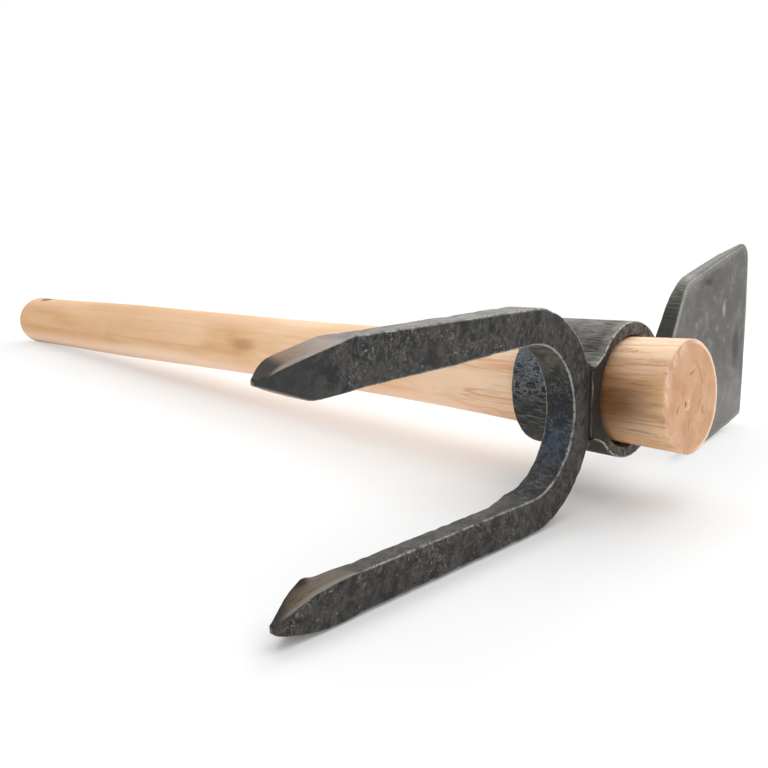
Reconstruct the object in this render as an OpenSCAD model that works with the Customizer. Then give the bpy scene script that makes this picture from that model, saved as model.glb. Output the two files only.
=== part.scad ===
// One-handed cultivator hoe: a turned wooden handle with a steel head jammed on its taper.
// The head is an eye ring with a two-tine fork on one side and a hoe blade on the other.
//
// The pieces are drawn in the tool's own axes. X runs along the handle from the sawn stub
// towards the butt, Y from the handle's axis towards the tine tips, and Z across the head.
// A last turn lays the tool down on the floor as it rests by itself, on the bend of the fork,
// the lower shoulder of the blade and the butt.

/* [Handle] */
// Length of the handle from the sawn stub to the butt
handle_length = 410; // [360:1:460]
// Diameter of the stub at its sawn end
stub_diameter = 36; // [35.7:0.1:37]
// Diameter of the handle where it leaves the eye
seat_diameter = 32.3; // [30:0.1:33]
// Diameter at the waist behind the head
waist_diameter = 26.4; // [22:0.1:29]
// Diameter at the swell of the grip
swell_diameter = 27.2; // [24:0.1:32]
// Diameter at the butt
butt_diameter = 25.8; // [22.5:0.1:30]
// Distance of the waist from the sawn end
waist_place = 190; // [150:1:215]
// Distance of the swell from the butt
swell_from_butt = 103; // [90:1:125]
// Straight length at the butt
butt_straight = 23; // [12:1:30]
// Radius of the rounded edge of the butt
butt_round = 10; // [3:0.5:11]
// How fast the taper behind the head runs out, as a power
neck_ease = 2.2; // [1.5:0.1:3]
// Lean of the sawn end towards the top side, in degrees
sawn_lean = 3.3; // [0:0.1:6]
// Lean of the sawn end towards the fork, in degrees
sawn_skew = 1.6; // [0:0.1:4]

/* [Hanging hole] */
// Diameter of the hanging hole
hang_hole_diameter = 7; // [4:0.5:9]
// Distance of the hanging hole from the butt
hang_hole_inset = 20; // [14:0.5:30]

/* [Lathe mark] */
// Diameter of the lathe centre mark in the sawn end
lathe_mark_diameter = 3.4; // [1:0.1:5]
// Depth of the lathe centre mark
lathe_mark_depth = 2.6; // [0.5:0.1:5]
// Offset of the lathe mark towards the fork
lathe_mark_side = 2.7; // [-4:0.1:4]
// Offset of the lathe mark below the axis
lathe_mark_drop = 1.5; // [-4:0.1:4]

/* [Eye ring] */
// Length of stub that stands out in front of the ring
stub_length = 20.7; // [12:0.1:30]
// Length of the ring along the handle
ring_length = 32.4; // [28:0.1:40]
// Outside diameter of the ring at its front rim
ring_front_diameter = 45; // [42:0.1:48]
// Outside diameter of the ring at its back rim
ring_back_diameter = 43.2; // [41:0.1:47]
// Gap all round between the handle and the ring
eye_clearance = 0.15; // [0.05:0.05:0.4]
// Bevel of the eye at the front rim
mouth_bevel = 1.1; // [0.3:0.1:1.8]
// Bevel of the outer edges of the ring
rim_bevel = 0.6; // [0.2:0.1:1.2]

/* [Joints of the head] */
// How far the fork's land stands out from the ring
fork_land_stand = 3.8; // [2.5:0.1:6]
// Width of the fork's land at the seam
fork_land_width = 21; // [16:0.1:22]
// Width of the fork's land where it grows out of the ring
fork_land_root = 27.8; // [23:0.1:29]
// How far the blade's land stands out from the ring
blade_land_stand = 2.7; // [2:0.1:6]
// Width and depth of the groove left along the front of the fork's seam
seam_groove = 1; // [0.3:0.1:1.6]
// Reach of the weld out of each notch beside a seam
weld_reach = 2.2; // [1:0.1:3]
// Set-back of the fork's weld from the front face of the fork
weld_set_back = 1.6; // [0.5:0.1:4]
// Set-back of the blade's weld from the front face of the fork
blade_weld_set_back = 2.6; // [0.5:0.1:4]

/* [Fork] */
// Gap between the tines
tine_gap = 44.6; // [36:0.1:52]
// Width of each tine, seen along the handle
tine_width = 10.5; // [8:0.1:13]
// Thickness of the yoke between the seam and the gap
yoke_thickness = 8.6; // [6:0.1:10]
// Depth of the yoke along the handle
yoke_depth = 10.3; // [8.5:0.1:13]
// Depth of the tines along the handle
tine_depth = 6.4; // [5:0.1:8.4]
// Distance from the seam to the tine tips
fork_length = 132.2; // [110:0.1:150]
// Set-back of the fork's front face from the front rim of the ring
fork_set_back = 0.2; // [0:0.1:1.5]
// How far the middle of the fork lies below the handle axis
fork_drop = 1.62; // [0:0.01:3]
// Length over which the yoke thins to the upper tine
upper_run_out = 77; // [12:0.5:79]
// Length over which the yoke thins to the lower tine
lower_run_out = 13; // [6:0.5:75]
// Distance from the tip to where the upper tine is widest
tine_swell_place = 16.5; // [12:0.1:22]
// How much wider the upper tine grows towards its tip
tine_swell = 2.4; // [0:0.1:4]
// Distance from the tip to where it starts to thicken
tine_swell_start = 53.5; // [40:0.5:65]
// Length of the ground faces on the top of each tine
long_grind = 25.8; // [18:0.1:35]
// Length of the ground faces below the lower tine
short_grind = 16.5; // [10:0.1:24]
// Length of the ground faces behind the tips
back_grind = 8.6; // [4:0.1:12]
// Width of the blunt tips
tip_width = 1.4; // [0.8:0.1:3]
// Depth of the blunt tips along the handle
tip_depth = 0.8; // [0.4:0.1:3]
// How much shorter the lower tine is than the upper one
lower_tip_back = 2.6; // [0:0.1:5]
// Distance of the upper tip from the middle of the fork
upper_tip_reach = 26.1; // [24:0.1:30]
// Distance of the lower tip from the middle of the fork
lower_tip_reach = 27.5; // [24:0.1:30]

/* [Hoe blade] */
// Distance from the seam to the cutting edge
blade_length = 102.6; // [80:0.1:120]
// Width of the neck of the blade
neck_width = 17; // [13:0.1:19]
// Distance from the seam to the root of the flare
neck_length = 8.3; // [6:0.1:12]
// Distance from the seam to the shoulders
shoulder_place = 25.2; // [20:0.1:34]
// Height of the upper shoulder above the handle axis
upper_shoulder = 31.9; // [26:0.1:36]
// Depth of the lower shoulder below the handle axis
lower_shoulder = 31.5; // [26:0.1:33]
// Height of the upper corner of the cutting edge
upper_corner = 44.6; // [34:0.1:50]
// Depth of the lower corner of the cutting edge
lower_corner = 30.3; // [26:0.1:33]
// Distance from the edge to the bend in the lower side
lower_bend_place = 18; // [12:0.1:26]
// Depth of the bend in the lower side
lower_bend = 32.4; // [30:0.1:33.4]
// Distance from the edge to the lowest point of the lower side
lower_bulge_place = 48; // [36:0.1:60]
// Depth of the lowest point of the lower side
lower_bulge = 34.4; // [33.5:0.1:36]
// Height of the foremost point of the cutting edge
edge_crown_height = 10; // [0:0.5:20]
// How far the upper corner lies behind the foremost point
upper_corner_back = 1.4; // [0.2:0.1:4]
// How far the lower corner lies behind the foremost point
lower_corner_back = 2.7; // [0.2:0.1:4]
// Radius of the upper corner
upper_corner_round = 5; // [1:0.1:7]
// Radius of the lower corner
lower_corner_round = 2; // [0.5:0.1:3]
// Radius of the crown of the cutting edge
edge_crown_round = 260; // [100:5:400]
// Radius of the shoulders
shoulder_round = 6; // [3:0.1:8]
// Radius of the bulge of the lower side
lower_bulge_round = 60; // [30:1:90]
// Radius of the flare beside the neck
flare_round = 7; // [3:0.1:9]
// Set-back of the blade's front face at the seam from the front rim of the ring
blade_set_back = 2; // [0.5:0.1:3]
// How far the blade leans towards the butt, in degrees
blade_lean = 6.28; // [3:0.01:8.5]
// Thickness of the blade where the edge bevel starts
blade_thickness = 4.8; // [2:0.1:5.5]
// Length of the edge bevel
edge_bevel = 31; // [12:0.5:40]
// Thickness of the cutting edge
edge_thickness = 1; // [0.5:0.1:1.6]

/* [Hidden] */
fine = 72;
steps = 12;
corner_steps = 8;

// Handle.
stub_r = stub_diameter / 2;
seat_r = seat_diameter / 2;
waist_r = waist_diameter / 2;
swell_r = swell_diameter / 2;
butt_r = butt_diameter / 2;
eye_front = stub_length;
eye_back = stub_length + ring_length;
taper = (stub_r - seat_r) / eye_back;
swell_place = handle_length - swell_from_butt;
butt_place = handle_length - butt_straight;
saw_spare = stub_r / 4;

// Places across the head, measured from the handle axis.
ring_r = ring_front_diameter / 2;
fork_seam = ring_r + fork_land_stand;
blade_seam = ring_r + blade_land_stand;
inner_r = tine_gap / 2;
outer_r = inner_r + tine_width;
bend_place = fork_seam + yoke_thickness + inner_r;
tip_place = fork_seam + fork_length;
lower_tip_place = tip_place - lower_tip_back;
land_root_half = fork_land_root / 2;
land_root_place = sqrt(pow(ring_r - rim_bevel, 2) - pow(land_root_half + fork_drop, 2));

// Places along the handle.
fork_front = eye_front + fork_set_back;
fork_back = fork_front + yoke_depth;
tine_back = fork_front + tine_depth;
blade_front = eye_front + blade_set_back;
weld_front = fork_front + weld_set_back;
blade_weld_front = fork_front + blade_weld_set_back;

// Blade. Its back face is level with the back of the fork as far as the shoulders.
edge_place = blade_seam + blade_length;
shoulder_at = blade_seam + shoulder_place;
flare_at = blade_seam + neck_length;
bulge_at = edge_place - lower_bulge_place;
bevel_at = edge_place - edge_bevel;
bevel_back = front_at(bevel_at) + blade_thickness;

// The blade seen along the handle: its corners, with X as the distance from the handle axis.
blade_corners = [
    [blade_seam, neck_width / 2, 0],
    [flare_at, neck_width / 2, flare_round],
    [shoulder_at, upper_shoulder, shoulder_round],
    [edge_place - upper_corner_back, upper_corner, upper_corner_round],
    [edge_place, edge_crown_height, edge_crown_round],
    [edge_place - lower_corner_back, -lower_corner, lower_corner_round],
    [edge_place - lower_bend_place, -lower_bend, 0],
    [bulge_at, -lower_bulge, lower_bulge_round],
    [shoulder_at, -lower_shoulder, shoulder_round],
    [flare_at, -neck_width / 2, flare_round],
    [blade_seam, -neck_width / 2, 0]
];
blade_points = rounded(blade_corners);
blade_reach = max([for (p = blade_points) p[0]]);
blade_low = max([for (p = blade_points) -p[1]]);

// How the tool lies: it is tipped about Y until the butt and the lower side of the head, be it
// the fork or the blade, touch the floor.
butt_h = handle_length - butt_round;
fork_low = outer_r + fork_drop;
bulge_back = back_at(bulge_at);
lie = max(lie_at(fork_back, fork_low), lie_at(bulge_back, blade_low));
lift = max(
    fork_back * sin(lie) + fork_low * cos(lie),
    bulge_back * sin(lie) + blade_low * cos(lie)
);
saw_rise = tan(sawn_lean) * cos(lie) + sin(lie);
saw_side = tan(sawn_skew) * cos(lie);
low_x = -stub_r * norm([saw_rise, saw_side]);
high_x = butt_h * cos(lie) + (butt_r - butt_round) * sin(lie) + butt_round;
mid_x = (low_x + high_x) / 2;
mid_y = (tip_place - blade_reach) / 2;

// Lean at which a point of the head and the butt both touch the floor.
function lie_at(h, low) =
    let(run = butt_h - h, fall = low - butt_r + butt_round)
        atan2(fall, run) - asin(butt_round / norm([run, fall]));

// Front and back faces of the blade at a distance s from the handle axis.
function front_at(s) = blade_front + tan(blade_lean) * (s - blade_seam);

function back_at(s) =
    fork_back + (bevel_back - fork_back) * (s - shoulder_at) / (bevel_at - shoulder_at);

// A smooth rise from 0 to 1.
function rise(u) = u * u * (3 - 2 * u);

// Radius of the cone that the head is jammed on.
function cone_r(h) = stub_r - taper * h;

// Radius of the handle between the ring and the waist, with u from 0 to 1 on the way.
function neck_r(u) = waist_r + (seat_r - waist_r) * pow(1 - u, neck_ease);

// Points of a polygon whose corners [x, y, radius] are rounded.
function corner_arc(a, b, c) =
    let(
        into = [a[0] - b[0], a[1] - b[1]] / norm([a[0] - b[0], a[1] - b[1]]),
        out = [c[0] - b[0], c[1] - b[1]] / norm([c[0] - b[0], c[1] - b[1]]),
        half = acos(into * out) / 2,
        mid = (into + out) / norm(into + out),
        centre = [b[0], b[1]] + mid * b[2] / sin(half),
        start = [b[0], b[1]] + into * b[2] / tan(half) - centre,
        side = sign(into[0] * out[1] - into[1] * out[0]),
        turn = -side * (180 - 2 * half)
    )
    [
        for (i = [0:corner_steps])
            let(a = turn * i / corner_steps)
                centre + [
                    start[0] * cos(a) - start[1] * sin(a),
                    start[0] * sin(a) + start[1] * cos(a)
                ]
    ];

function rounded(corners) = [
    for (i = [0:len(corners) - 1])
        let(
            b = corners[i],
            a = corners[(i + len(corners) - 1) % len(corners)],
            c = corners[(i + 1) % len(corners)]
        )
        each (b[2] > 0 ? corner_arc(a, b, c) : [[b[0], b[1]]])
];

// Turns a shape drawn in Y and Z into a solid between two places along the handle.
module along_handle(from, to) {
    translate([from, 0, 0])
        rotate([90, 0, 90])
            linear_extrude(to - from)
                children();
}

// Lays the tool down and puts the origin under the middle of its bounding box.
module laid_down() {
    translate([-mid_x, -mid_y, lift])
        rotate([0, lie, 0])
            children();
}

// Outline of the handle, turned about its axis.
module handle_profile() {
    neck_run = waist_place - eye_back;
    grip_run = swell_place - waist_place;
    tail_run = butt_place - swell_place;
    polygon(concat(
        [[0, -saw_spare], [cone_r(-saw_spare), -saw_spare]],
        [for (i = [0:steps]) [neck_r(i / steps), eye_back + neck_run * i / steps]],
        [
            for (i = [1:steps])
                [
                    waist_r + (swell_r - waist_r) * rise(i / steps),
                    waist_place + grip_run * i / steps
                ]
        ],
        [
            for (i = [1:steps])
                [
                    swell_r + (butt_r - swell_r) * rise(i / steps),
                    swell_place + tail_run * i / steps
                ]
        ],
        [
            for (i = [0:steps])
                let(a = 90 * i / steps)
                    [butt_r - butt_round + butt_round * cos(a), butt_h + butt_round * sin(a)]
        ],
        [[0, handle_length]]
    ));
}

module handle() {
    cut = 4 * stub_r;
    color("BurlyWood")
        laid_down()
            difference() {
                rotate([0, 90, 0])
                    rotate_extrude($fn = fine)
                        handle_profile();
                rotate([0, sawn_lean, -sawn_skew])
                    translate([-cut, -cut / 2, -cut / 2])
                        cube(cut);
                // Lathe centre mark, sunk from the sawn end.
                rotate([0, sawn_lean, -sawn_skew])
                    translate([0, lathe_mark_side, -lathe_mark_drop])
                        rotate([0, 90, 0])
                            cylinder(d1 = lathe_mark_diameter, d2 = 0, h = lathe_mark_depth, $fn = 24);
                // Hanging hole.
                translate([handle_length - hang_hole_inset, 0, 0])
                    cylinder(d = hang_hole_diameter, h = cut, center = true, $fn = 36);
            }
}

// Land on the ring for the fork, narrowing towards the seam.
module fork_land() {
    translate([0, -fork_drop])
        polygon([
            [0, -land_root_half],
            [land_root_place, -land_root_half],
            [fork_seam, -fork_land_width / 2],
            [fork_seam, fork_land_width / 2],
            [land_root_place, land_root_half],
            [0, land_root_half]
        ]);
}

// Land on the ring for the blade, as wide as its neck.
module blade_land() {
    translate([-blade_seam, -neck_width / 2])
        square([blade_seam, neck_width]);
}

// The wood's cone with the eye's clearance, longer than the ring.
module eye_bore() {
    spare = 1;
    rotate([0, 90, 0])
        translate([0, 0, eye_front - spare])
            cylinder(
                r1 = cone_r(eye_front - spare) + eye_clearance,
                r2 = cone_r(eye_back + spare) + eye_clearance,
                h = ring_length + 2 * spare,
                $fn = fine
            );
}

module eye_ring() {
    back_r = ring_back_diameter / 2;
    mouth_r = cone_r(eye_front) + eye_clearance;
    groove_turn = 45;
    color("DimGray")
        laid_down()
            difference() {
                union() {
                    rotate([0, 90, 0])
                        rotate_extrude($fn = fine)
                            polygon([
                                [0, eye_front],
                                [ring_r - rim_bevel, eye_front],
                                [ring_r, eye_front + rim_bevel],
                                [back_r, eye_back - rim_bevel],
                                [back_r - rim_bevel, eye_back],
                                [0, eye_back]
                            ]);
                    along_handle(fork_front, fork_back)
                        fork_land();
                    along_handle(blade_front, fork_back)
                        blade_land();
                }
                eye_bore();
                // Bevel at the mouth of the eye.
                rotate([0, 90, 0])
                    translate([0, 0, eye_front])
                        cylinder(
                            r1 = mouth_r + mouth_bevel,
                            r2 = mouth_r - mouth_bevel,
                            h = 2 * mouth_bevel,
                            $fn = fine
                        );
                // Groove along the front of the fork's seam.
                translate([fork_front, fork_seam, 0])
                    rotate([0, 0, groove_turn])
                        cube([seam_groove, seam_groove, 4 * ring_r] * sqrt(2), center = true);
            }
}

// Outline of the fork: a U whose outside is cut flat where it meets the land on the ring.
module fork_outline() {
    spare = 1;
    translate([0, -fork_drop])
        intersection() {
            translate([fork_seam, -outer_r - spare])
                square([fork_length, 2 * (outer_r + spare)]);
            difference() {
                union() {
                    translate([bend_place, 0])
                        circle(r = outer_r, $fn = 2 * fine);
                    polygon([
                        [bend_place, -outer_r],
                        [lower_tip_place - short_grind, -outer_r],
                        [lower_tip_place, -tip_width / 2 - lower_tip_reach],
                        [lower_tip_place, 0],
                        [tip_place, 0],
                        [tip_place, upper_tip_reach + tip_width / 2],
                        [tip_place - long_grind, outer_r],
                        [bend_place, outer_r]
                    ]);
                }
                translate([bend_place, 0])
                    circle(r = inner_r, $fn = 2 * fine);
                polygon([
                    [bend_place, -inner_r],
                    [lower_tip_place - long_grind, -inner_r],
                    [lower_tip_place, tip_width / 2 - lower_tip_reach],
                    [tip_place + spare, tip_width / 2 - lower_tip_reach],
                    [tip_place + spare, upper_tip_reach - tip_width / 2],
                    [tip_place, upper_tip_reach - tip_width / 2],
                    [tip_place - tine_swell_place, inner_r - tine_swell],
                    [tip_place - tine_swell_start, inner_r],
                    [bend_place, inner_r]
                ]);
            }
        }
}

// A tine seen from the side, along Z: deep at the yoke, thin at the tip.
module tine_side(run_out, tip) {
    polygon([
        [fork_front, fork_seam],
        [fork_front, tip],
        [fork_front + tip_depth, tip],
        [tine_back, tip - back_grind],
        [tine_back, bend_place + run_out],
        [fork_back, bend_place],
        [fork_back, fork_seam]
    ]);
}

module fork() {
    half = outer_r + fork_drop + 1;
    color("SlateGray")
        laid_down()
            intersection() {
                along_handle(fork_front, fork_back)
                    fork_outline();
                union() {
                    translate([0, 0, -fork_drop])
                        linear_extrude(half)
                            tine_side(upper_run_out, tip_place);
                    translate([0, 0, -fork_drop - half])
                        linear_extrude(half)
                            tine_side(lower_run_out, lower_tip_place);
                }
            }
}

// The blade seen from the side: it leans, thins towards the edge and has a bevel behind it.
module blade_side() {
    polygon([
        [front_at(blade_seam), blade_seam],
        [front_at(edge_place), edge_place],
        [front_at(edge_place) + edge_thickness, edge_place],
        [bevel_back, bevel_at],
        [fork_back, shoulder_at],
        [fork_back, blade_seam]
    ]);
}

module hoe_blade() {
    reach = 2 * (upper_corner + lower_bulge);
    color("LightSlateGray")
        laid_down()
            mirror([0, 1, 0])
                intersection() {
                    along_handle(0, 2 * fork_back)
                        polygon(blade_points);
                    linear_extrude(reach, center = true)
                        blade_side();
                }
}

// Weld metal in the two notches beside the fork's seam.
module fork_weld() {
    inset = 0.5 * weld_reach;
    land_half = fork_land_width / 2;
    color("Gray")
        laid_down()
            along_handle(weld_front, fork_back)
                difference() {
                    translate([fork_seam - weld_reach, -fork_drop - land_half - weld_reach])
                        square([2 * weld_reach, 2 * (land_half + weld_reach)]);
                    fork_outline();
                    fork_land();
                    for (side = [-1, 1])
                        translate([fork_seam, side * (land_half + weld_reach + inset) - fork_drop])
                            circle(r = weld_reach, $fn = 48);
                }
}

// Weld metal beside the blade's seam, in the corners between the ring and the neck.
module blade_weld() {
    color("Gray")
        laid_down()
            for (side = [0, 1])
                mirror([0, 0, side])
                    along_handle(blade_weld_front, fork_back)
                        polygon([
                            [-blade_seam - weld_reach, neck_width / 2],
                            [-blade_seam + weld_reach, neck_width / 2],
                            [-blade_seam, neck_width / 2 + weld_reach]
                        ]);
}

handle();
eye_ring();
fork();
hoe_blade();
fork_weld();
blade_weld();
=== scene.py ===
import logging
import math
from dataclasses import dataclass
from enum import Enum
from typing import Dict, Iterator, List, Optional, Sequence, Tuple, Union

import bmesh
import bpy
import numpy as np
from mathutils import Matrix, Vector


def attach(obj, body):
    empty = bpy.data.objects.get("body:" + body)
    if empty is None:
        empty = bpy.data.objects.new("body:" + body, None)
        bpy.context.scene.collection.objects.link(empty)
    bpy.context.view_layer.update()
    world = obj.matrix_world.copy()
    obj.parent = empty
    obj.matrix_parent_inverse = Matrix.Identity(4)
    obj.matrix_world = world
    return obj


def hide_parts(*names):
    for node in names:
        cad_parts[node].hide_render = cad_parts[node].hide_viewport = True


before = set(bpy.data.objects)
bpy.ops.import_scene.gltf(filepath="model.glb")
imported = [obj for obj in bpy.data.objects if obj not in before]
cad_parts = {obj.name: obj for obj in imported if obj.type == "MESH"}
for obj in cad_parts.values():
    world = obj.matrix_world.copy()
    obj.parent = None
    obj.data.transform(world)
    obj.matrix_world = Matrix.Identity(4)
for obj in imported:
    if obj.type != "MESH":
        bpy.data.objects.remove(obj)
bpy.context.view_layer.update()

log = logging.getLogger("cultivator_hoe")

MM = 0.001
TURN = 2 * math.pi
PHOTO_PIXELS = 768
BODY = "root"
Array = np.ndarray
Number = Union[float, "Sock"]
Value = Union["Sock", float, Tuple[float, ...]]
Pair = Tuple[float, float]
Triple = Tuple[float, float, float]
Face = Tuple[int, ...]


def smooth(u: Array) -> Array:
    """A smooth rise from 0 to 1 for values between 0 and 1."""
    c = np.clip(u, 0.0, 1.0)
    return c * c * (3.0 - 2.0 * c)


def points_at(h: Union[float, Array], t: Union[float, Array], w: Union[float, Array]) -> Array:
    """Points made of their coordinates, numbers and arrays mixed."""
    return np.stack(np.broadcast_arrays(h, t, w), axis=-1).astype(float)


def follow(line: Sequence[Pair], places: Array) -> Array:
    """The heights of a bent line, given by its corners, at some places."""
    corners = np.array(line)
    return np.interp(places, corners[:, 0], corners[:, 1])


def curve(first: Sequence[float], pull: Sequence[float], last: Sequence[float], count: int) -> Array:
    """A number of points on a bend from one point to another, pulled towards a third."""
    u = np.linspace(0, 1, count).reshape((-1,) + (1,) * np.ndim(first))
    return (1 - u) ** 2 * np.array(first) + 2 * u * (1 - u) * np.array(pull) + u * u * np.array(last)


def unit(way: Array) -> Array:
    """A direction brought to length 1."""
    return way / np.linalg.norm(way)


def quarter_round(u: float, r: float) -> Pair:
    """How far a rounding of a radius lies inside its corner both ways, at a share of its turn."""
    return r * (1 - math.cos(u * TURN / 4)), r * (1 - math.sin(u * TURN / 4))


def turned_from(angle: Array, centre: float) -> Array:
    """How far angles are turned from a centre, between minus and plus half a turn."""
    return np.remainder(angle - centre + TURN / 2, TURN) - TURN / 2


def full_turn(count: int) -> Array:
    """The angles of a number of columns spaced evenly round a turn."""
    return np.arange(count) * TURN / count


@dataclass(frozen=True)
class ToolAxes:
    """Where the tool's own axes lie in the row frame.

    The tool's axes are h along the handle, t towards the tine tips and w across the head, in
    millimetres from the middle of the sawn end.
    """

    lean: float = math.radians(3.33687)
    lift: float = 36.1777
    mid_x: float = 203.674
    mid_y: float = 15.5261

    def rotation(self) -> Array:
        """The turn from the tool's axes to the row's, as a 3 by 3 matrix."""
        c, s = math.cos(self.lean), math.sin(self.lean)
        return np.array([[c, 0.0, s], [0.0, 1.0, 0.0], [-s, 0.0, c]])

    def to_row(self, points: Array) -> Array:
        """Turns points in the tool's axes, in mm, into metres in the row frame."""
        shift = np.array([-self.mid_x, -self.mid_y, self.lift])
        return (points @ self.rotation().T + shift) * MM


AXES = ToolAxes()


@dataclass(frozen=True)
class Grit:
    """Smooth seeded noise on points, for dents, nicks and sawn fibres."""

    seed: int
    strides: Tuple[int, int, int, int] = (73856093, 19349663, 83492791, 2654435761)
    stirs: Tuple[Tuple[int, int], ...] = ((15, 2246822519), (13, 3266489917), (16, 1))
    offset: float = 311.7

    def lattice(self, cell: Array) -> Array:
        """A fixed random number from -1 to 1 for each lattice point.

        Args:
            cell: Whole numbers, whose last axis is x, y, z.

        Returns:
            One value for each lattice point.
        """
        a, b, c, d = self.strides
        mixed = cell[..., 0] * a ^ cell[..., 1] * b ^ cell[..., 2] * c ^ (self.seed * d)
        mixed = mixed & 0xFFFFFFFF
        for shift, factor in self.stirs:
            mixed = (mixed ^ (mixed >> shift)) * factor & 0xFFFFFFFF
        return mixed.astype(np.float64) / 2147483647.5 - 1.0

    def at(self, points: Array, size: Union[float, Sequence[float]]) -> Array:
        """Noise from -1 to 1.

        Args:
            points: An array whose last axis is x, y, z.
            size: The grain's size along each axis, in the points' unit.

        Returns:
            One value for each point.
        """
        q = points / np.asarray(size, float) + self.offset
        cell = np.floor(q).astype(np.int64)
        share = smooth(q - cell)
        total = np.zeros(points.shape[:-1])
        for corner in np.ndindex(2, 2, 2):
            x, y, z = (share[..., k] if corner[k] else 1 - share[..., k] for k in range(3))
            total += x * y * z * self.lattice(cell + corner)
        return total

    def layered(self, points: Array, size: float) -> Array:
        """Noise of two sizes, the second half as large and half as strong."""
        return self.at(points, size) + self.at(points, size / 2) / 2


class Closing(Enum):
    """How an end of a skin is closed."""

    OPEN = "open"
    FAN = "fan"
    ZIP = "zip"
    LOOP = "loop"


@dataclass
class Skin:
    """A surface held as rows and columns of points, closed round its columns.

    The points are in the tool's axes in mm, and each mark holds a number per point. The ends say
    how the first and the last row are closed, where LOOP joins the last row to the first. The axis
    of the array that runs round the metal is 1, or 0 where the rows themselves run round it.
    """

    points: Array
    marks: Dict[str, Array]
    ends: Tuple[Closing, Closing] = (Closing.FAN, Closing.FAN)
    around: int = 1

    def normals(self) -> Array:
        """Unit normals of the surface.

        Returns:
            A normal for each point, pointing out of the metal.
        """
        p = self.points
        across = np.roll(p, -1, axis=1) - np.roll(p, 1, axis=1)
        along = np.concatenate([p[1:2] - p[:1], p[2:] - p[:-2], p[-1:] - p[-2:-1]])
        n = np.cross(along, across)
        n = n / np.maximum(np.linalg.norm(n, axis=-1, keepdims=True), 1e-9)
        outward = ((p - p.mean(axis=self.around, keepdims=True)) * n).sum()
        return n if outward > 0 else -n

    def push(self, amount: Array) -> None:
        """Moves each point along its normal by an amount in mm."""
        self.points = self.points + self.normals() * amount[..., None]


def strip(low: Sequence[int], high: Sequence[int]) -> List[Face]:
    """The faces between two rows of point numbers."""
    return list(zip(low, low[1:], high[1:], high))


def make_mesh(name: str, points: Array, marks: Dict[str, Array], faces: List[Face]) -> bpy.types.Mesh:
    """Makes a smooth mesh with its faces turned outwards.

    Args:
        name: The mesh's name.
        points: Its points, in the tool's axes in mm.
        marks: A number per point for each named mark.
        faces: The numbers of each face's points.

    Returns:
        The mesh, in the row frame.
    """
    mesh = bpy.data.meshes.new(name)
    mesh.from_pydata(AXES.to_row(points).tolist(), [], faces)
    for key, values in marks.items():
        attribute = mesh.attributes.new(key, "FLOAT", "POINT")
        attribute.data.foreach_set("value", values.astype(np.float32))
    mesh.validate()
    mesh.polygons.foreach_set("use_smooth", [True] * len(mesh.polygons))
    shape = bmesh.new()
    shape.from_mesh(mesh)
    bmesh.ops.recalc_face_normals(shape, faces=shape.faces)
    shape.to_mesh(mesh)
    shape.free()
    mesh.update()
    return mesh


def build_piece(name: str, skin: Skin, finish: bpy.types.Material) -> bpy.types.Object:
    """Makes a Blender object from a skin.

    Args:
        name: The object's name.
        skin: The surface, in the tool's axes.
        finish: The material.

    Returns:
        The new object, in the row frame.
    """
    rows, cols = skin.points.shape[:2]
    points = [skin.points.reshape(-1, 3)]
    marks = {key: [value.reshape(-1)] for key, value in skin.marks.items()}
    numbers = np.arange(rows * cols).reshape(rows, cols)
    rings = np.concatenate([numbers, numbers[:, :1]], axis=1).tolist()
    faces = [face for low, high in zip(rings, rings[1:]) for face in strip(low, high)]
    for closing, row in zip(skin.ends, (0, -1)):
        ring = rings[row]
        if closing is Closing.FAN:
            centre = sum(len(p) for p in points)
            points.append(skin.points[row].mean(axis=0)[None, :])
            for key, value in skin.marks.items():
                marks[key].append(value[row].mean(keepdims=True))
            faces += [(centre, a, b) if row else (centre, b, a) for a, b in zip(ring, ring[1:])]
        elif closing is Closing.ZIP:
            half = cols // 2
            cap = strip(ring[:half], ring[-2::-1][:half])
            faces += [face[::-1] if row else face for face in cap]
        elif closing is Closing.LOOP:
            faces += strip(ring, rings[0])
    joined = {key: np.concatenate(parts) for key, parts in marks.items()}
    mesh = make_mesh(name, np.concatenate(points), joined, faces)
    mesh.materials.append(finish)
    piece = bpy.data.objects.new(name, mesh)
    bpy.context.scene.collection.objects.link(piece)
    return piece


def dress(piece: bpy.types.Object, node: str) -> bpy.types.Object:
    """Lets a piece ride on the tool and stand for its CAD node, whose part it hides.

    Args:
        piece: The piece.
        node: The CAD node that it stands for.

    Returns:
        The same piece.
    """
    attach(piece, BODY)
    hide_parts(node)
    return piece


# Shader nodes, written as Python expressions


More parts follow.
